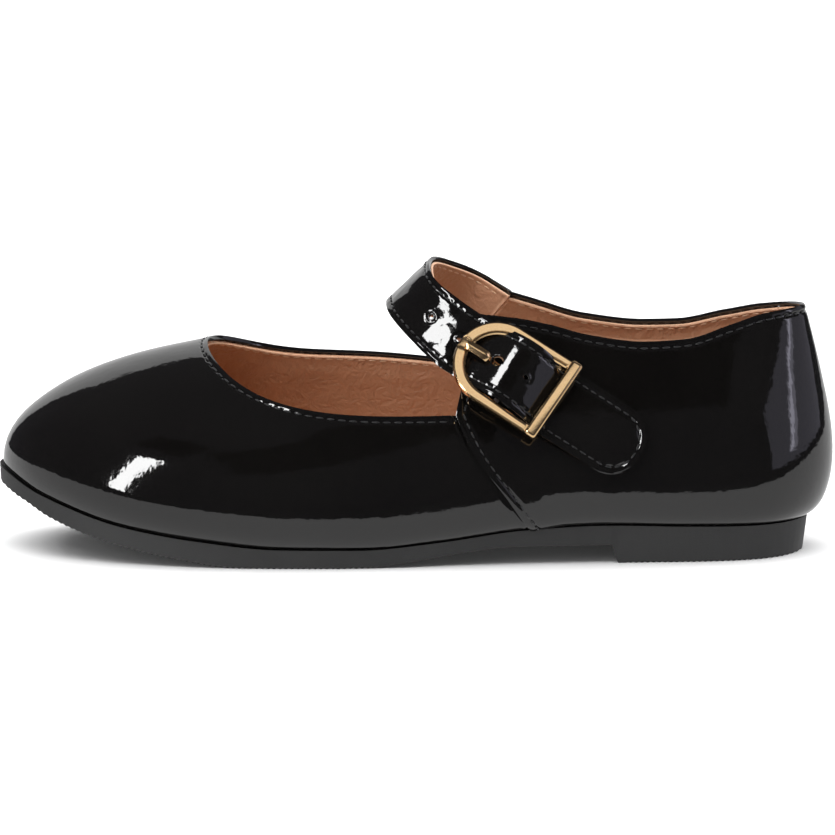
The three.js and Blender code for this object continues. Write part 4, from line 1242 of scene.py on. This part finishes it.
smooth_spine = np.stack([np.interp(fine, index, spine[:, k]) for k in (0, 1)], 1)
for _ in range(6):
    smooth_spine[1:-1] = (smooth_spine[:-2] + 2 * smooth_spine[1:-1] + smooth_spine[2:]) / 4
wide = np.interp(fine, index, spine[:, 2])
heading = unit(np.gradient(smooth_spine, axis=0))
rings = [[(u + dh * t, w * v, h - du * t) for v, t in PRONG_SECTION]
         for (u, h), (du, dh), w in zip(smooth_spine, heading, wide)]
tongue = loft(rings)
eye_ring = bmesh.new()
profile = [eye_ring.verts.new((radius, across, 0)) for radius, across in (
    (EYE_INSIDE, -EYE_HALF), (EYE_OUTSIDE, -EYE_HALF),
    (EYE_OUTSIDE, EYE_HALF), (EYE_INSIDE, EYE_HALF))]
edges = [eye_ring.edges.new((profile[k], profile[(k + 1) % 4])) for k in range(4)]
bmesh.ops.spin(eye_ring, geom=profile + edges, cent=(0, 0, 0), axis=(0, 1, 0),
               angle=2 * math.pi, steps=32, use_merge=True)
eye_ring.transform(Matrix.Translation((PIN_AT, 0, PIN_HIGH)))
buckle_prong = buckle_piece("gold_buckle_prong", joined(tongue, eye_ring), gold, "prong",
                            "buckle_metal", "buckle_prong")

# Tab: a folded loop of patent leather, slit for the prong.
TAB_HALF = 6.0
TAB_LEATHER = 0.7
TAB_REACH = 7.0
TAB_RADIUS = PIN_RADIUS + 0.15 + TAB_LEATHER
TAB_FLOOR = 0.45
TAB_UPPER = TAB_FLOOR + 2 * TAB_LEATHER + 0.05
SLIT_HALF, SLIT_REACH = 1.35, 1.9
half_turn = np.linspace(-np.pi / 2, np.pi / 2, 24)
upper_run = np.c_[np.linspace(TAB_REACH, PIN_AT, 26),
                  np.interp(np.linspace(0, 1, 26), [0, 0.35, 1],
                            [TAB_UPPER, TAB_UPPER, PIN_HIGH + TAB_RADIUS])]
fold = np.c_[PIN_AT - TAB_RADIUS * np.cos(half_turn[::-1]),
             PIN_HIGH + TAB_RADIUS * np.sin(half_turn[::-1])]
lower_run = np.c_[np.linspace(PIN_AT, TAB_REACH, 26),
                  np.interp(np.linspace(0, 1, 26), [0, 0.5, 1],
                            [PIN_HIGH - TAB_RADIUS, TAB_FLOOR, TAB_FLOOR])]
profile = np.r_[upper_run, fold[1:-1], lower_run]
across = np.r_[-TAB_HALF, -4, -2, -SLIT_HALF, SLIT_HALF, 2, 4, TAB_HALF]
bm = bmesh.new()
lines = [[bm.verts.new((u, v, h)) for v in across] for u, h in profile]
for row, (first, second) in enumerate(zip(lines, lines[1:])):
    slit = profile[row][0] < PIN_AT + SLIT_REACH
    for k in range(len(across) - 1):
        if not (slit and k == 3):
            bm.faces.new((first[k], first[k + 1], second[k + 1], second[k]))
bmesh.ops.recalc_face_normals(bm, faces=bm.faces)
bm.transform(BUCKLE)
buckle_tab = piece("patent_buckle_tab", bm, patent)
thicken(buckle_tab, TAB_LEATHER)
in_body(buckle_tab, "shoe", "patent_leather", "buckle_tab")

# ---------------------------------------------------------------- camera and studio
# The shoe stands on a white floor under a broad soft light. The studio ahead of it is dark, so
# the patent leather stays black, and cards that only reflections see draw its highlights.
AIM = Vector((0.00052, 0.00023, 0.0289))
CAMERA_DISTANCE = 1.1
CAMERA_RISE = math.radians(9)
LENS = 208.7
WHITE = (1, 1, 1, 1)
COOL = (0.86, 0.84, 1, 1)
PAPER = (0.86, 0.86, 0.86, 1)
DARKNESS = (0.05, 0.05, 0.055, 1)
MIDDLE = (0, 0, 0.03)                       # of the shoe

eye = bpy.data.objects.new("camera", bpy.data.cameras.new("camera"))
eye.data.lens = LENS
eye.data.clip_end = 20
eye.location = AIM + CAMERA_DISTANCE * Vector((0, -math.cos(CAMERA_RISE), math.sin(CAMERA_RISE)))
eye.rotation_euler = (AIM - eye.location).to_track_quat("-Z", "Y").to_euler()
bpy.context.collection.objects.link(eye)
bpy.context.scene.camera = eye
bpy.context.scene.view_settings.view_transform = "Standard"

world = bpy.data.worlds.new("dark_studio")
world.use_nodes = True
world.node_tree.nodes["Background"].inputs["Color"].default_value = DARKNESS
bpy.context.scene.world = world


def stand_in(name, bm, material, *unseen_by):
    """A thing of the studio, which these kinds of rays don't meet."""
    mesh = bpy.data.meshes.new(name)
    bm.to_mesh(mesh)
    mesh.materials.append(material)
    made = bpy.data.objects.new(name, mesh)
    bpy.context.collection.objects.link(made)
    for kind in unseen_by:
        setattr(made, "visible_" + kind, False)
    return made


def glow(name, colour, strength):
    """A material that only gives light."""
    made = bpy.data.materials.new(name)
    made.use_nodes = True
    nodes = made.node_tree.nodes
    nodes.clear()
    light = add(nodes, "ShaderNodeEmission", {"Color": colour, "Strength": strength})
    add(nodes, "ShaderNodeOutputMaterial", {"Surface": light.outputs[0]})
    return made


paper = surface("white_studio_paper", Roughness=1.0, Specular_IOR_Level=0.0,
                Base_Color=PAPER)[0]
bm = bmesh.new()
bmesh.ops.create_circle(bm, cap_ends=True, segments=64, radius=6)
stand_in("floor", bm, paper, "glossy")

bm = bmesh.new()
bmesh.ops.create_cone(bm, segments=64, radius1=6, radius2=6, depth=8)
stand_in("backdrop", bm, glow("white_backdrop", WHITE, 1.05),
         "glossy", "diffuse", "shadow", "transmission")


def card(name, centre, facing, width, height, strength, turn=0.0, colour=WHITE):
    """A lit rectangle that only shows in reflections."""
    bm = bmesh.new()
    bmesh.ops.create_grid(bm, x_segments=1, y_segments=1, size=0.5)
    bmesh.ops.scale(bm, vec=(width, height, 1), verts=bm.verts)
    turned = (Vector(facing) - Vector(centre)).to_track_quat("Z", "Y").to_matrix().to_4x4()
    bm.transform(Matrix.Translation(Vector(centre)) @ turned @ Matrix.Rotation(turn, 4, "Z"))
    return stand_in(name, bm, glow(name, colour, strength),
                    "camera", "diffuse", "shadow", "transmission")


def toward(azimuth, rise, distance):
    """A place seen from the shoe at an azimuth from the camera's side and a rise, in degrees."""
    azimuth, rise = math.radians(azimuth), math.radians(rise)
    flat = distance * math.cos(rise)
    return (flat * math.sin(azimuth), -flat * math.cos(azimuth),
            MIDDLE[2] + distance * math.sin(rise))


def lights_only(light, *pieces):
    """The light reaches these pieces and nothing else."""
    lit = bpy.data.collections.new("lit_by_" + light.name)
    for made in pieces:
        lit.objects.link(made)
    light.light_linking.receiver_collection = lit


card("floor_seen_in_leather", (0, 1.44, -0.001), (0, 1.44, 1), 3.2, 3.13, 0.9)
card("backdrop_seen_in_leather", (0, 3.0, 1.6), (0, 0, 1.6), 4.0, 3.2, 0.9)
card("toe_softbox", toward(-40, 21.5, 1.4), MIDDLE, 0.19, 1.02, 18, turn=0.19)
card("heel_strip", toward(73, 23, 1.4), MIDDLE, 0.07, 0.8, 3.6, colour=COOL)
card("heel_halo", toward(74, 23, 1.42), MIDDLE, 0.2, 0.86, 1.5, colour=COOL)
card("heel_fill", toward(84, 18, 1.6), MIDDLE, 2.1, 0.9, 0.5, colour=COOL)
strap_card = card("strap_softbox", toward(-34, 54, 1.2), MIDDLE, 0.27, 0.22, 17, turn=0.3)
lights_only(strap_card, strap_outer)
gold_card = card("buckle_softbox", toward(8, 46, 1.0), MIDDLE, 0.6, 0.36, 0.95)
lights_only(gold_card, buckle_frame, buckle_prong, buckle_pin)


def area_light(name, place, width, depth, power):
    """A soft lamp facing down, which reflections don't show."""
    lamp = bpy.data.lights.new(name, "AREA")
    lamp.shape = "RECTANGLE"
    lamp.size, lamp.size_y = width, depth
    lamp.energy = power
    made = bpy.data.objects.new(name, lamp)
    made.location = place
    made.visible_glossy = False
    bpy.context.collection.objects.link(made)
    return made


area_light("overhead_light", (0, 1.2, 1.9), 4.0, 6.0, 230)
front = area_light("front_fill", (-1.1, -1.6, 0.7), 1.6, 1.6, 14)
front.rotation_euler = (-front.location).to_track_quat("-Z", "Y").to_euler()
